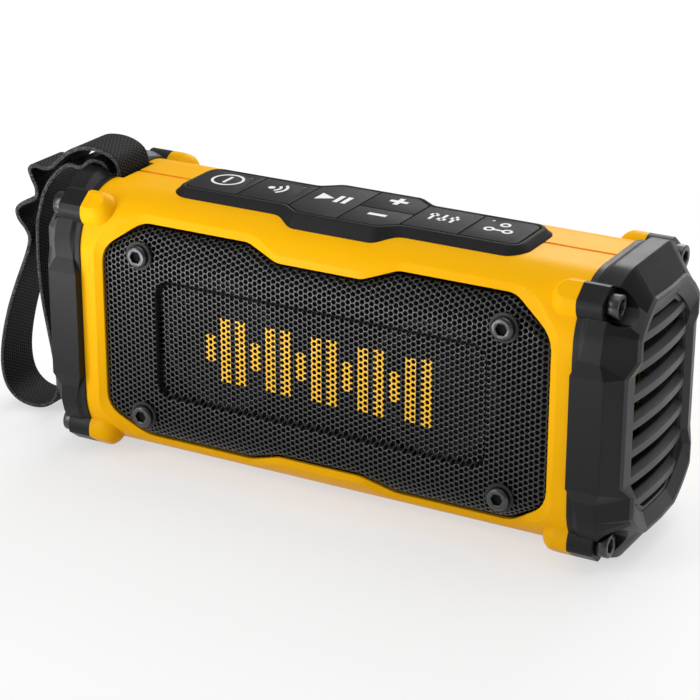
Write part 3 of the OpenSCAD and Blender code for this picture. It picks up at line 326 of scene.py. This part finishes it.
def rounded_copy(node, material, width, segments=2, smooth=40.0):
    """The CAD node again, with its sharp edges rounded to a width in millimetres."""
    flat_angle = math.radians(0.5)
    sharp_angle = math.radians(28.0)
    work = bmesh.new()
    work.from_mesh(nodes[node].data)
    bmesh.ops.remove_doubles(work, verts=work.verts, dist=WELD)
    bmesh.ops.dissolve_degenerate(work, dist=WELD, edges=work.edges)
    bmesh.ops.dissolve_limit(work, angle_limit=flat_angle, verts=work.verts, edges=work.edges)
    edges = [e for e in work.edges if e.is_manifold and e.calc_face_angle() > sharp_angle]
    bmesh.ops.bevel(work, geom=edges, offset=width * MM, offset_type="OFFSET", segments=segments,
                    profile=0.5, affect="EDGES", clamp_overlap=False, miter_outer="ARC")
    mesh = bpy.data.meshes.new(node + "_rounded")
    work.to_mesh(mesh)
    work.free()
    return show_for(node, "_rounded", mesh, material, smooth)


def smooth_copy(node, material, smooth=22.0):
    """The CAD node again with smooth normals.

    Each corner takes the mean normal of the faces round it that lie within an angle of its own face."""
    mesh = nodes[node].data.copy()
    mesh.materials.clear()
    limit = math.cos(math.radians(smooth))
    normals = np.array([face.normal for face in mesh.polygons])
    areas = np.array([face.area for face in mesh.polygons])
    places = [tuple(round(c / WELD) for c in vertex.co) for vertex in mesh.vertices]
    faces_at = {}
    for face in mesh.polygons:
        for v in face.vertices:
            faces_at.setdefault(places[v], []).append(face.index)
    corner_normals = []
    for face in mesh.polygons:
        for v in face.vertices:
            near = np.array(faces_at[places[v]])
            near = near[normals[near] @ normals[face.index] > limit]
            mean = (normals[near] * areas[near][:, None]).sum(axis=0)
            corner_normals.append(mean / max(np.linalg.norm(mean), TINY))
    piece = show_for(node, "_moulded", mesh, material, sharp=180.0)
    mesh.normals_split_custom_set(corner_normals)
    return piece


def repaint(piece, material, where):
    """Gives a second material to the faces whose middles, in millimetres, are chosen."""
    piece.data.materials.append(material)
    for face in piece.data.polygons:
        x, y, z = face.center / MM
        if where(x, y, z - MID_Z):
            face.material_index = 1


def dress(material, *names):
    """Gives a material to CAD nodes that stay as they are."""
    for name in names:
        mesh = nodes[name].data
        if not mesh.materials:
            mesh.materials.append(material)
        for i in range(len(mesh.materials)):
            mesh.materials[i] = material


# Shells, caps and vents

BOW_X = cad_high.x / MM
BOW_R = 204.0
RIM_DEPTH = 1.6
VENT_START = 115.0
VENT_HALF_D = 29.5
VENT_HALF_H = 46.6
END_SKIN = 0.1
SIDES = ("left_", "right_")


def end_face_painted_shade(x, y, z):
    """The shells' ends, which lie inside the caps; they get painted shade, black where they show through
    the vent gaps.
    """
    return abs(x) > HALF_LEN - END_SKIN


def on_vent(x, y, z):
    """The bowed rim round a vent, and what lies inside it."""
    bow = BOW_X - y * y / (2 * BOW_R)
    on_rim = abs(x) > bow - RIM_DEPTH
    inside = abs(x) > VENT_START and abs(y) < VENT_HALF_D and abs(z) < VENT_HALF_H
    return on_rim or inside


# Yellow shells, with painted shade in black on their ends inside the caps
for name in ("front_housing", "rear_housing"):
    repaint(smooth_copy(name, yellow), inner_black_and_shade, end_face_painted_shade)
dress(seal_orange, "housing_seal")
for side in SIDES:
    repaint(smooth_copy(side + "end_cap", charcoal, smooth=16.0), louver_grey, on_vent)
    smooth_copy(side + "vent_louver", louver_grey)
    rounded_copy(side + "cap_screws", black_steel, width=0.3)


# Grille screws, with painted shade in their sockets

SCREW_X = 81.6
SCREW_Z = 35.0
SOCKET_R = 2.4
HEAD_SKIN = 0.4
HEAD_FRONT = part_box("grille_screws")[0].y / MM


def in_socket_painted_shade(x, y, z):
    from_axis = math.hypot(abs(x) - SCREW_X, abs(z) - SCREW_Z)
    return y > HEAD_FRONT + HEAD_SKIN and from_axis < SOCKET_R


# The sockets' walls and floors get painted shade in black
repaint(rounded_copy("grille_screws", black_steel, width=0.25), inner_black_and_shade, in_socket_painted_shade)


# Keypad and keys

rounded_copy("keypad_frame", keypad_rubber, width=0.6, segments=3, smooth=60.0)
for key in ("power", "pairing", "play", "volume_up", "volume_down", "tone", "link"):
    rounded_copy(key + "_key", keypad_rubber, width=0.3)
dress(lens, "power_light", "pairing_light", "link_light")


# Small parts on the outside, drivers, radiators and electronics, as packed

dress(black_steel, "housing_screws")
dress(soft_rubber, "grille_washers", "port_cover")
dress(inner_black_and_shade, "baffle", "battery_holder")
for side in SIDES:
    dress(inner_black_and_shade, side + "radiator_frame", side + "radiator_plate")
    dress(soft_rubber, side + "driver_gasket", side + "driver_surround", side + "radiator_surround")
    dress(cone_paper, side + "driver_cone")
    dress(bright_steel, side + "driver_basket", side + "driver_magnet")
dress(board_green, "key_board", "main_board")
dress(bright_steel, "key_switches", "board_screws", "usb_socket", "port_hinge_pin", "strap_bar")
dress(aluminium, "heat_sink")
dress(cell_wrap, "battery_cells")


# Grille: a formed sheet with round-edged holes in a honeycomb

grille_low, grille_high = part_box("grille")
GRILLE_HALF_W = grille_high.x / MM
GRILLE_HALF_H = (grille_high.z - grille_low.z) / 2 / MM
GRILLE_SET = HALF_D + grille_low.y / MM
FRONT_R = EDGE_R - GRILLE_SET
CUT_X = 17.0
CUT_Z = 12.0
CORNER_R = 12.0
NOTCH_W = 38.0
NOTCH_SLOPE = 14.5
NOTCH_DEPTH = 5.2
RECESS_W = 150.0
RECESS_H = 52.0
RECESS_R = 7.0
RECESS_DEPTH = 3.0
RECESS_SLOPE = 2.2
MARGIN_W = 3.4
MARGIN_DROP = 1.5
MARGIN_POWER = 1.5
RIM_BACK_Y = -31.9
SHEET_T = 0.9
HOLE_PITCH = 2.42
HOLE_R = 0.83
HOLE_CORNER = 1.05
CELL_POINTS = 12
GRILLE_WELD = 0.01 * MM
# Round edge of a hole: shares of its radius, and how deep they lie
HOLE_LIP = ((1.24, 0.03), (1.1, 0.12), (1.0, 0.32))


def corner_arc(before, corner, after, r, steps=6):
    """Points on the arc that rounds off one corner of an outline."""
    u = (before - corner).normalized()
    v = (after - corner).normalized()
    half = math.acos(max(-1.0, min(1.0, u.dot(v)))) / 2
    centre = corner + (u + v).normalized() * r / math.sin(half)
    first = corner + u * r / math.tan(half) - centre
    last = corner + v * r / math.tan(half) - centre
    start = math.atan2(first.y, first.x)
    turn = math.atan2(first.x * last.y - first.y * last.x, first.dot(last))
    angles = [start + turn * i / steps for i in range(steps + 1)]
    return [centre + r * Vector((math.cos(a), math.sin(a))) for a in angles]


def grille_outline():
    """Edge of the sheet, with cut corners and a notch in the middle of its top and bottom."""
    w = GRILLE_HALF_W
    h = GRILLE_HALF_H
    notch = NOTCH_W / 2
    top = [(notch, h - NOTCH_DEPTH), (notch + NOTCH_SLOPE, h), (w - CUT_X, h), (w, h - CUT_Z)]
    right = top + [(x, -z) for x, z in reversed(top)]
    corners = [Vector(p) for p in right + [(-x, z) for x, z in reversed(right)]]
    n = len(corners)
    arcs = [corner_arc(corners[i - 1], corners[i], corners[(i + 1) % n], CORNER_R) for i in range(n)]
    return [p for points in arcs for p in points]


def inside_distance(points, outline):
    """Distance of 2-D points inside a closed outline, negative outside, and the nearest points on it."""
    ends = np.array([tuple(p) for p in outline])
    starts = np.roll(ends, 1, axis=0)
    best = np.full(len(points), np.inf)
    nearest = np.zeros_like(points)
    crossings = np.zeros(len(points), int)
    for a, b in zip(starts, ends):
        d = b - a
        if d @ d < TINY:
            continue
        t = np.clip(((points - a) @ d) / (d @ d), 0, 1)
        q = a + t[:, None] * d
        far = np.linalg.norm(points - q, axis=1)
        closer = far < best
        best[closer] = far[closer]
        nearest[closer] = q[closer]
        if abs(d[1]) > TINY:
            spans = (a[1] > points[:, 1]) != (b[1] > points[:, 1])
            hit = a[0] + (points[:, 1] - a[1]) / d[1] * d[0]
            crossings += spans & (points[:, 0] < hit)
    return np.where(crossings % 2 == 1, best, -best), nearest


def smooth_step(x):
    t = np.clip(x, 0, 1)
    return t * t * (3 - 2 * t)


def recess_drop(x, z):
    """How far the sunk panel lies behind the sheet."""
    dx = np.abs(x) - (RECESS_W / 2 - RECESS_R)
    dz = np.abs(z) - (RECESS_H / 2 - RECESS_R)
    at_corner = np.hypot(np.maximum(dx, 0), np.maximum(dz, 0))
    outside = at_corner + np.minimum(np.maximum(dx, dz), 0) - RECESS_R
    return RECESS_DEPTH * smooth_step(-outside / RECESS_SLOPE)


def sheet_points(xz, edge_distance, lift):
    """Places on the formed sheet for 2-D points, lifted along the body's own normal."""
    over = np.maximum(np.abs(xz[:, 1]) - EDGE_Z, 0)
    lean = np.sqrt(FRONT_R * FRONT_R - over * over)
    margin = MARGIN_DROP * (1 - np.clip(edge_distance / MARGIN_W, 0, 1)) ** MARGIN_POWER
    inward = recess_drop(xz[:, 0], xz[:, 1]) + margin - lift
    y = -EDGE_Y - lean + inward * lean / FRONT_R
    z = xz[:, 1] - np.sign(xz[:, 1]) * inward * over / FRONT_R
    return np.stack([xz[:, 0], y, z], axis=1)


def arc_height(s):
    """Height on the rounded front for a length s along it from the middle."""
    over = np.maximum(np.abs(s) - EDGE_Z, 0) / FRONT_R
    return np.sign(s) * (np.minimum(np.abs(s), EDGE_Z) + FRONT_R * np.sin(over))


def hole_centres(outline):
    """Middles of the honeycomb cells that reach into the outline, as lengths along the rounded front."""
    column = HOLE_PITCH * math.sqrt(3) / 2
    columns = math.ceil(HALF_LEN / column)
    rows = math.ceil(HALF_H / HOLE_PITCH)
    centres = np.array([(i * column, (j + 0.5 * (i % 2)) * HOLE_PITCH)
                        for i in range(-columns, columns + 1) for j in range(-rows, rows + 1)])
    flat = np.stack([centres[:, 0], arc_height(centres[:, 1])], axis=1)
    reach, _ = inside_distance(flat, outline)
    return centres[reach > -HOLE_PITCH / 2]


def cell_rings():
    """Rings from a cell's six-sided edge down into its hole, each with its height on the sheet."""
    turns = np.radians(np.arange(CELL_POINTS) * 360.0 / CELL_POINTS)
    unit = np.stack([np.cos(turns), np.sin(turns)], axis=1)
    at_corner = (np.arange(CELL_POINTS) % 2 == 0)[:, None]
    cell = unit * np.where(at_corner, HOLE_PITCH / math.sqrt(3), HOLE_PITCH / 2)
    hole = unit * np.where(at_corner, HOLE_CORNER, 1.0) * HOLE_R
    lip = [(hole * share, -depth) for share, depth in HOLE_LIP]
    return [(cell, 0.0), *lip, (hole, -SHEET_T)]


def weld(mesh, distance):
    """Joins points that lie closer than a distance and turns all faces outward."""
    work = bmesh.new()
    work.from_mesh(mesh)
    bmesh.ops.remove_doubles(work, verts=work.verts, dist=distance)
    bmesh.ops.dissolve_degenerate(work, dist=distance, edges=work.edges)
    bmesh.ops.recalc_face_normals(work, faces=work.faces)
    work.to_mesh(mesh)
    work.free()


def grille_mesh():
    """The perforated sheet with a rim behind its edge; hole walls, and the panel's bends but for the lower
    one, get material 1, which is painted shade.
    """
    flat_share = 0.05
    outline = grille_outline()
    centres = hole_centres(outline)
    rings = cell_rings()
    points = []
    for shape, lift in rings:
        flat = (centres[:, None, :] + shape[None, :, :]).reshape(-1, 2)
        flat[:, 1] = arc_height(flat[:, 1])
        distance, nearest = inside_distance(flat, outline)
        flat[distance < 0] = nearest[distance < 0]
        points.append(sheet_points(flat, np.maximum(distance, 0), lift))
    ring_size = len(centres) * CELL_POINTS
    faces = []
    for first in range(0, ring_size * (len(rings) - 1), CELL_POINTS):
        for k in range(CELL_POINTS):
            a = first + k
            b = first + (k + 1) % CELL_POINTS
            faces.append((a, b, b + ring_size, a + ring_size))
    hole_walls_painted_shade = range(ring_size * (len(rings) - 2), ring_size * (len(rings) - 1))
    edge = np.array([tuple(p) for p in outline])
    front = sheet_points(edge, np.zeros(len(edge)), 0.0)
    back = front.copy()
    back[:, 1] = RIM_BACK_Y
    rim = ring_size * len(rings)
    n = len(edge)
    for i in range(n):
        j = (i + 1) % n
        faces.append((rim + i, rim + n + i, rim + n + j, rim + j))
    mesh = mesh_of("grille_sheet", np.concatenate(points + [front, back]).tolist(), faces)
    for face in mesh.polygons:
        x = face.center.x / MM
        z = face.center.z / MM - MID_Z
        # Painted shade: the hole walls, and the bends of the sunk panel that face down or sideways; the
        # lower bend, which faces up, keeps the paint
        above_lower_bend = z > RECESS_SLOPE - RECESS_H / 2
        sunk_share = recess_drop(x, z) / RECESS_DEPTH
        bend_painted_shade = flat_share < sunk_share < 1 - flat_share and above_lower_bend
        face.material_index = int(bend_painted_shade or face.index in hole_walls_painted_shade)
    weld(mesh, GRILLE_WELD)
    return mesh


show("grille_sheet", grille_mesh(), [grille_black, inner_black_and_shade], "speaker", ["grille"],
     sharp=80)


# Strap: webbing swept along its route, with rounded edges
# Route points are measured from the bar; a third number is how far the back edge stands out of the route

bar_low, bar_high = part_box("strap_bar")
BAR_X = (bar_low.x + bar_high.x) / 2 / MM
BAR_Z = (bar_low.z + bar_high.z) / 2 / MM - MID_Z
STRAP_W = 22.0
STRAP_T = 1.9
STRAP_EDGE_R = 0.7
STRAP_STEP = 0.5
LOOP_R = 2.95
ROUTE = [
    (2.6, 4), (0.8, 7.8), (-3.7, 10.3), (-9.7, 11.3), (-16.7, 10.5), (-22.7, 7.8, 0.6), (-27.7, 3.8, 1.6),
    (-31.7, 0.3, 2.2), (-35.7, -1, 1.6), (-40.2, -0.5, 0.6), (-43.2, -2.4), (-42.3, -6), (-40.3, -10.2),
    (-40.3, -14), (-42.7, -16.2), (-47.7, -18.7), (-50.9, -21.8), (-50.1, -25.8), (-46.5, -30),
    (-45, -34.5), (-47.3, -42.3), (-53.2, -56), (-58.5, -70), (-62.3, -84.6), (-63.5, -96), (-61.7, -105),
    (-56.7, -110.4), (-49.7, -112.4), (-42.2, -111.6), (-36.2, -107.6), (-33.7, -101), (-34.3, -93),
    (-35.9, -83), (-37.9, -72), (-39.7, -61), (-40.7, -49), (-40.9, -37), (-40.3, -26), (-38.5, -19, -0.6),
    (-36.3, -12, -1.6), (-32.7, -6, -2.2), (-28.3, -1.3, -1.6), (-24.1, 1.8, -0.6), (-20.8, 2.5),
    (-17.8, 2), (-15.2, 2.8), (-12.6, 5.2), (-10.2, 6.1), (-7.7, 6), (-5.2, 5.5), (-3.6, 3.7),
]


def closed_curve(points, step):
    """Evenly spaced points on a smooth closed curve through the points given, and its length."""
    fine_steps = 24
    p = np.array(points)
    n = len(p)
    fine = []
    for i in range(n):
        a, b, c, d = p[i - 1], p[i], p[(i + 1) % n], p[(i + 2) % n]
        for t in np.linspace(0, 1, fine_steps, endpoint=False):
            bend = (2 * a - 5 * b + 4 * c - d) * t * t + (3 * b - a - 3 * c + d) * t ** 3
            fine.append(0.5 * (2 * b + (c - a) * t + bend))
    fine = np.array(fine + [fine[0]])
    steps = np.linalg.norm(np.diff(fine[:, :2], axis=0), axis=1)
    lengths = np.concatenate([[0], np.cumsum(steps)])
    at = np.linspace(0, lengths[-1], int(lengths[-1] / step), endpoint=False)
    return np.stack([np.interp(at, lengths, column) for column in fine.T], axis=1), lengths[-1]


def strap_section():
    """Section of the webbing as (place across the width, place through the thickness)."""
    flat_points = 23
    half_t = STRAP_T / 2
    flat_end = STRAP_W / 2 - STRAP_EDGE_R
    flat = np.linspace(-flat_end, flat_end, flat_points)
    bend = np.radians(range(30, 180, 30))
    outward = [flat_end + STRAP_EDGE_R * math.sin(a) for a in bend]
    through = [half_t * math.cos(a) for a in bend]
    front = [(w, half_t) for w in flat] + list(zip(outward, through))
    return front + [(-w, -t) for w, t in front]


def strap_mesh():
    """The webbing as one closed tube, with its length and width in metres as a cloth map."""
    turn = [(LOOP_R * math.cos(a), LOOP_R * math.sin(a)) for a in np.radians(range(180, 361, 30))]
    placed = [(BAR_X + p[0], BAR_Z + p[1], p[2] if len(p) > 2 else 0) for p in ROUTE + turn]
    path, length = closed_curve(placed, STRAP_STEP)
    centres = path[:, :2]
    ahead = np.roll(centres, -1, axis=0) - np.roll(centres, 1, axis=0)
    ahead /= np.linalg.norm(ahead, axis=1)[:, None]
    side = np.stack([-ahead[:, 1], ahead[:, 0]], axis=1)
    section = strap_section()
    m = len(section)
    n = len(path)
    points = []
    for centre, out, twist in zip(centres, side, path[:, 2]):
        for w, t in section:
            x, z = centre + out * (t + twist * (w / STRAP_W + 0.5))
            points.append((x, w, z))
    corners = ((0, 0), (0, 1), (1, 1), (1, 0))
    quads = [[(i + a, k + b) for a, b in corners] for i in range(n) for k in range(m)]
    faces = [[i % n * m + k % m for i, k in quad] for quad in quads]
    mesh = mesh_of("strap_webbing", points, faces)
    cloth = mesh.uv_layers.new(name="cloth")
    around = np.cumsum([0] + [math.dist(section[k], section[(k + 1) % m]) for k in range(m)])
    for polygon in mesh.polygons:
        places = dict(zip(faces[polygon.index], quads[polygon.index]))
        for loop in polygon.loop_indices:
            i, k = places[mesh.loops[loop].vertex_index]
            cloth.data[loop].uv = (i * length / n * MM, around[k] * MM)
    return mesh, length


webbing_mesh, strap_length = strap_mesh()
strap = show("strap_webbing", webbing_mesh, [strap_black], "strap_body", ["wrist_strap"],
             sharp=70)


# Marks on the keys, each drawn about its own middle

KEY_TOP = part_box("play_key")[1].z / MM - MID_Z
MARK_H = 0.12
ARC_STEPS = 16


def raised_mark(name, key, middle, outlines):
    """Flat white marks on a key; each outline is a list of (x, y), or a pair of rings of equal length."""
    points = []
    faces = []
    for outline in outlines:
        is_ring = isinstance(outline, tuple)
        loops = outline if is_ring else (outline,)
        n = len(loops[0])
        base = len(points)
        for loop in loops:
            for z in (KEY_TOP - MARK_H, KEY_TOP + MARK_H):
                points += [(middle[0] + x, middle[1] + y, z) for x, y in loop]
        low, top, inner_low, inner_top = (base + n * level for level in range(4))
        for i in range(n):
            j = (i + 1) % n
            faces.append((low + i, low + j, top + j, top + i))
            if is_ring:
                faces.append((inner_low + j, inner_low + i, inner_top + i, inner_top + j))
                faces.append((top + i, top + j, inner_top + j, inner_top + i))
        if not is_ring:
            faces.append(tuple(top + i for i in range(n)))
    show(name, mesh_of(name, points, faces), [mark_white], key + "_key_body")


def bar(x, y, w, d):
    return [(x - w / 2, y - d / 2), (x + w / 2, y - d / 2), (x + w / 2, y + d / 2), (x - w / 2, y + d / 2)]


def arc(x, y, r, start, end, n):
    angles = [math.radians(start + (end - start) * i / n) for i in range(n + 1)]
    return [(x + r * math.cos(a), y + r * math.sin(a)) for a in angles]


def circle(x, y, r, n=40):
    return arc(x, y, r, 0, 360, n)[:n]


def ring(x, y, outer, inner):
    return circle(x, y, outer), circle(x, y, inner)


def band(r, w, spread):
    """A curved stroke that spreads the same angle above and below the middle."""
    outer = arc(0, 0, r + w / 2, -spread, spread, ARC_STEPS)
    inner = arc(0, 0, r - w / 2, -spread, spread, ARC_STEPS)
    return outer + inner[::-1]


power_sign = [ring(0, 0, 7.0, 5.9), bar(0, 0.1, 1.3, 7.6)]
pairing_sign = [circle(0, 0, 1.5, 24), band(3.8, 1.2, 48), band(6.5, 1.2, 48)]
play_sign = [[(-6.7, -4.0), (0.4, 0), (-6.7, 4.0)], bar(2.6, 0, 2.0, 8.0), bar(6.2, 0, 2.0, 8.0)]
plus_sign = [bar(0, 0, 2.2, 7.8), bar(-2.5, 0, 2.9, 2.2), bar(2.5, 0, 2.9, 2.2)]
minus_sign = [bar(0, 0, 8.0, 2.2)]
slider_knobs = ((-4.6, 1.9), (0, -1.9), (4.6, 0.9))
tone_sign = [stroke for x, y in slider_knobs for stroke in (bar(x, 0, 1.2, 7.6), bar(x, y, 3.6, 2.0))]
link_dots = ((-3.9, 0), (3.9, 0), (0, 6.8))
link_sign = [ring(x, y, 2.2, 1.2) for x, y in link_dots] + [bar(0, 0, 3.4, 1.1)]

raised_mark("power_mark", "power", (-62.5, -0.5), power_sign)
raised_mark("pairing_mark", "pairing", (-41.6, -0.5), pairing_sign)
raised_mark("play_mark", "play", (-13.0, -0.4), play_sign)
raised_mark("plus_mark", "volume_up", (12.1, 8.4), plus_sign)
raised_mark("minus_mark", "volume_down", (12.1, -10.0), minus_sign)
raised_mark("tone_mark", "tone", (36.5, -0.8), tone_sign)
raised_mark("link_mark", "link", (61.6, -3.8), link_sign)


# Stage: pale floor and soft light, in metres

FLOOR_REACH = 6.0
FLOOR_Z = -0.0002
PAPER_GLOW = 0.6
WORLD_STRENGTH = 0.32


def white_paper():
    """Floor paper that shows its own lit colour and shadows mixed with plain white."""
    material = moulded("floor_paper", (0.93, 0.93, 0.93), 0.9, mottle=0.005, grain=0.0, specular=0.1)
    tree = material.node_tree
    rays = add(tree, "LightPath").outputs
    mirrored = calculate(tree, "MAXIMUM", rays["Is Glossy Ray"], rays["Is Transmission Ray"])
    seen = calculate(tree, "MAXIMUM", rays["Is Camera Ray"], mirrored)
    mix = add(tree, "MixShader")
    tree.links.new(calculate(tree, "MULTIPLY", seen, PAPER_GLOW), mix.inputs[0])
    tree.links.new(tree.nodes["Principled BSDF"].outputs[0], mix.inputs[1])
    tree.links.new(add(tree, "Emission", Strength=1.0).outputs[0], mix.inputs[2])
    tree.links.new(mix.outputs[0], tree.nodes["Material Output"].inputs["Surface"])
    return material


def floor():
    corners = [(x * FLOOR_REACH, y * FLOOR_REACH, 0) for x, y in ((-1, -1), (1, -1), (1, 1), (-1, 1))]
    mesh = bpy.data.meshes.new("floor")
    mesh.from_pydata(corners, [], [(0, 1, 2, 3)])
    mesh.materials.append(white_paper())
    plane = bpy.data.objects.new("floor", mesh)
    plane.location.z = FLOOR_Z
    bpy.context.scene.collection.objects.link(plane)


def add_light(name, kind, strength, direction):
    """A lamp that shines along a direction."""
    data = bpy.data.lights.new(name, kind)
    data.energy = strength
    light = bpy.data.objects.new(name, data)
    light.rotation_euler = Vector(direction).to_track_quat("-Z", "Y").to_euler()
    bpy.context.scene.collection.objects.link(light)
    return light


def area_light(name, place, aim, size, watts):
    light = add_light(name, "AREA", watts, Vector(aim) - Vector(place))
    light.location = place
    light.visible_camera = False
    light.data.shape = "RECTANGLE"
    light.data.size, light.data.size_y = size


def plain_world():
    world = bpy.data.worlds.new("studio")
    world.use_nodes = True
    background = world.node_tree.nodes["Background"]
    background.inputs["Color"].default_value = (1, 1, 1, 1)
    background.inputs["Strength"].default_value = WORLD_STRENGTH
    bpy.context.scene.world = world


floor()
plain_world()
overhead = add_light("overhead", "SUN", 1.25, (-0.15, -0.25, -1.0))
overhead.data.angle = math.radians(60.0)
area_light("key_box", place=(-0.78, -1.04, 0.60), aim=(0, 0, 0.06), size=(0.45, 1.0), watts=7.5)
area_light("low_card", place=(-0.20, -0.41, 0.004), aim=(-0.20, -0.41, 1.0), size=(0.30, 0.38), watts=3.0)
area_light("back_panel", place=(-0.20, 1.45, 0.95), aim=(0, 0, 0.10), size=(0.95, 1.0), watts=14.0)
area_light("back_fill", place=(0.75, 1.35, 0.65), aim=(0, 0, 0.10), size=(0.45, 0.5), watts=0.9)


# Camera at the photo's angle, in degrees and metres

AZIMUTH = 28.886
ELEVATION = 21.898
ROLL = 0.13
CAMERA_AT = (0.4257, -0.7816, 0.4137)
FOCAL_PX = 2350.9
IMAGE_PX = 700
SENSOR = 36.0


def photo_camera():
    data = bpy.data.cameras.new("photo_camera")
    data.sensor_width = SENSOR
    data.lens = FOCAL_PX / IMAGE_PX * SENSOR
    camera = bpy.data.objects.new("photo_camera", data)
    pan = Matrix.Rotation(math.radians(AZIMUTH), 4, "Z")
    tilt = Matrix.Rotation(math.radians(90 - ELEVATION), 4, "X")
    roll = Matrix.Rotation(math.radians(ROLL), 4, "Z")
    camera.matrix_world = Matrix.Translation(CAMERA_AT) @ pan @ tilt @ roll
    bpy.context.scene.collection.objects.link(camera)
    bpy.context.scene.camera = camera


photo_camera()
bpy.context.scene.view_settings.view_transform = "Standard"
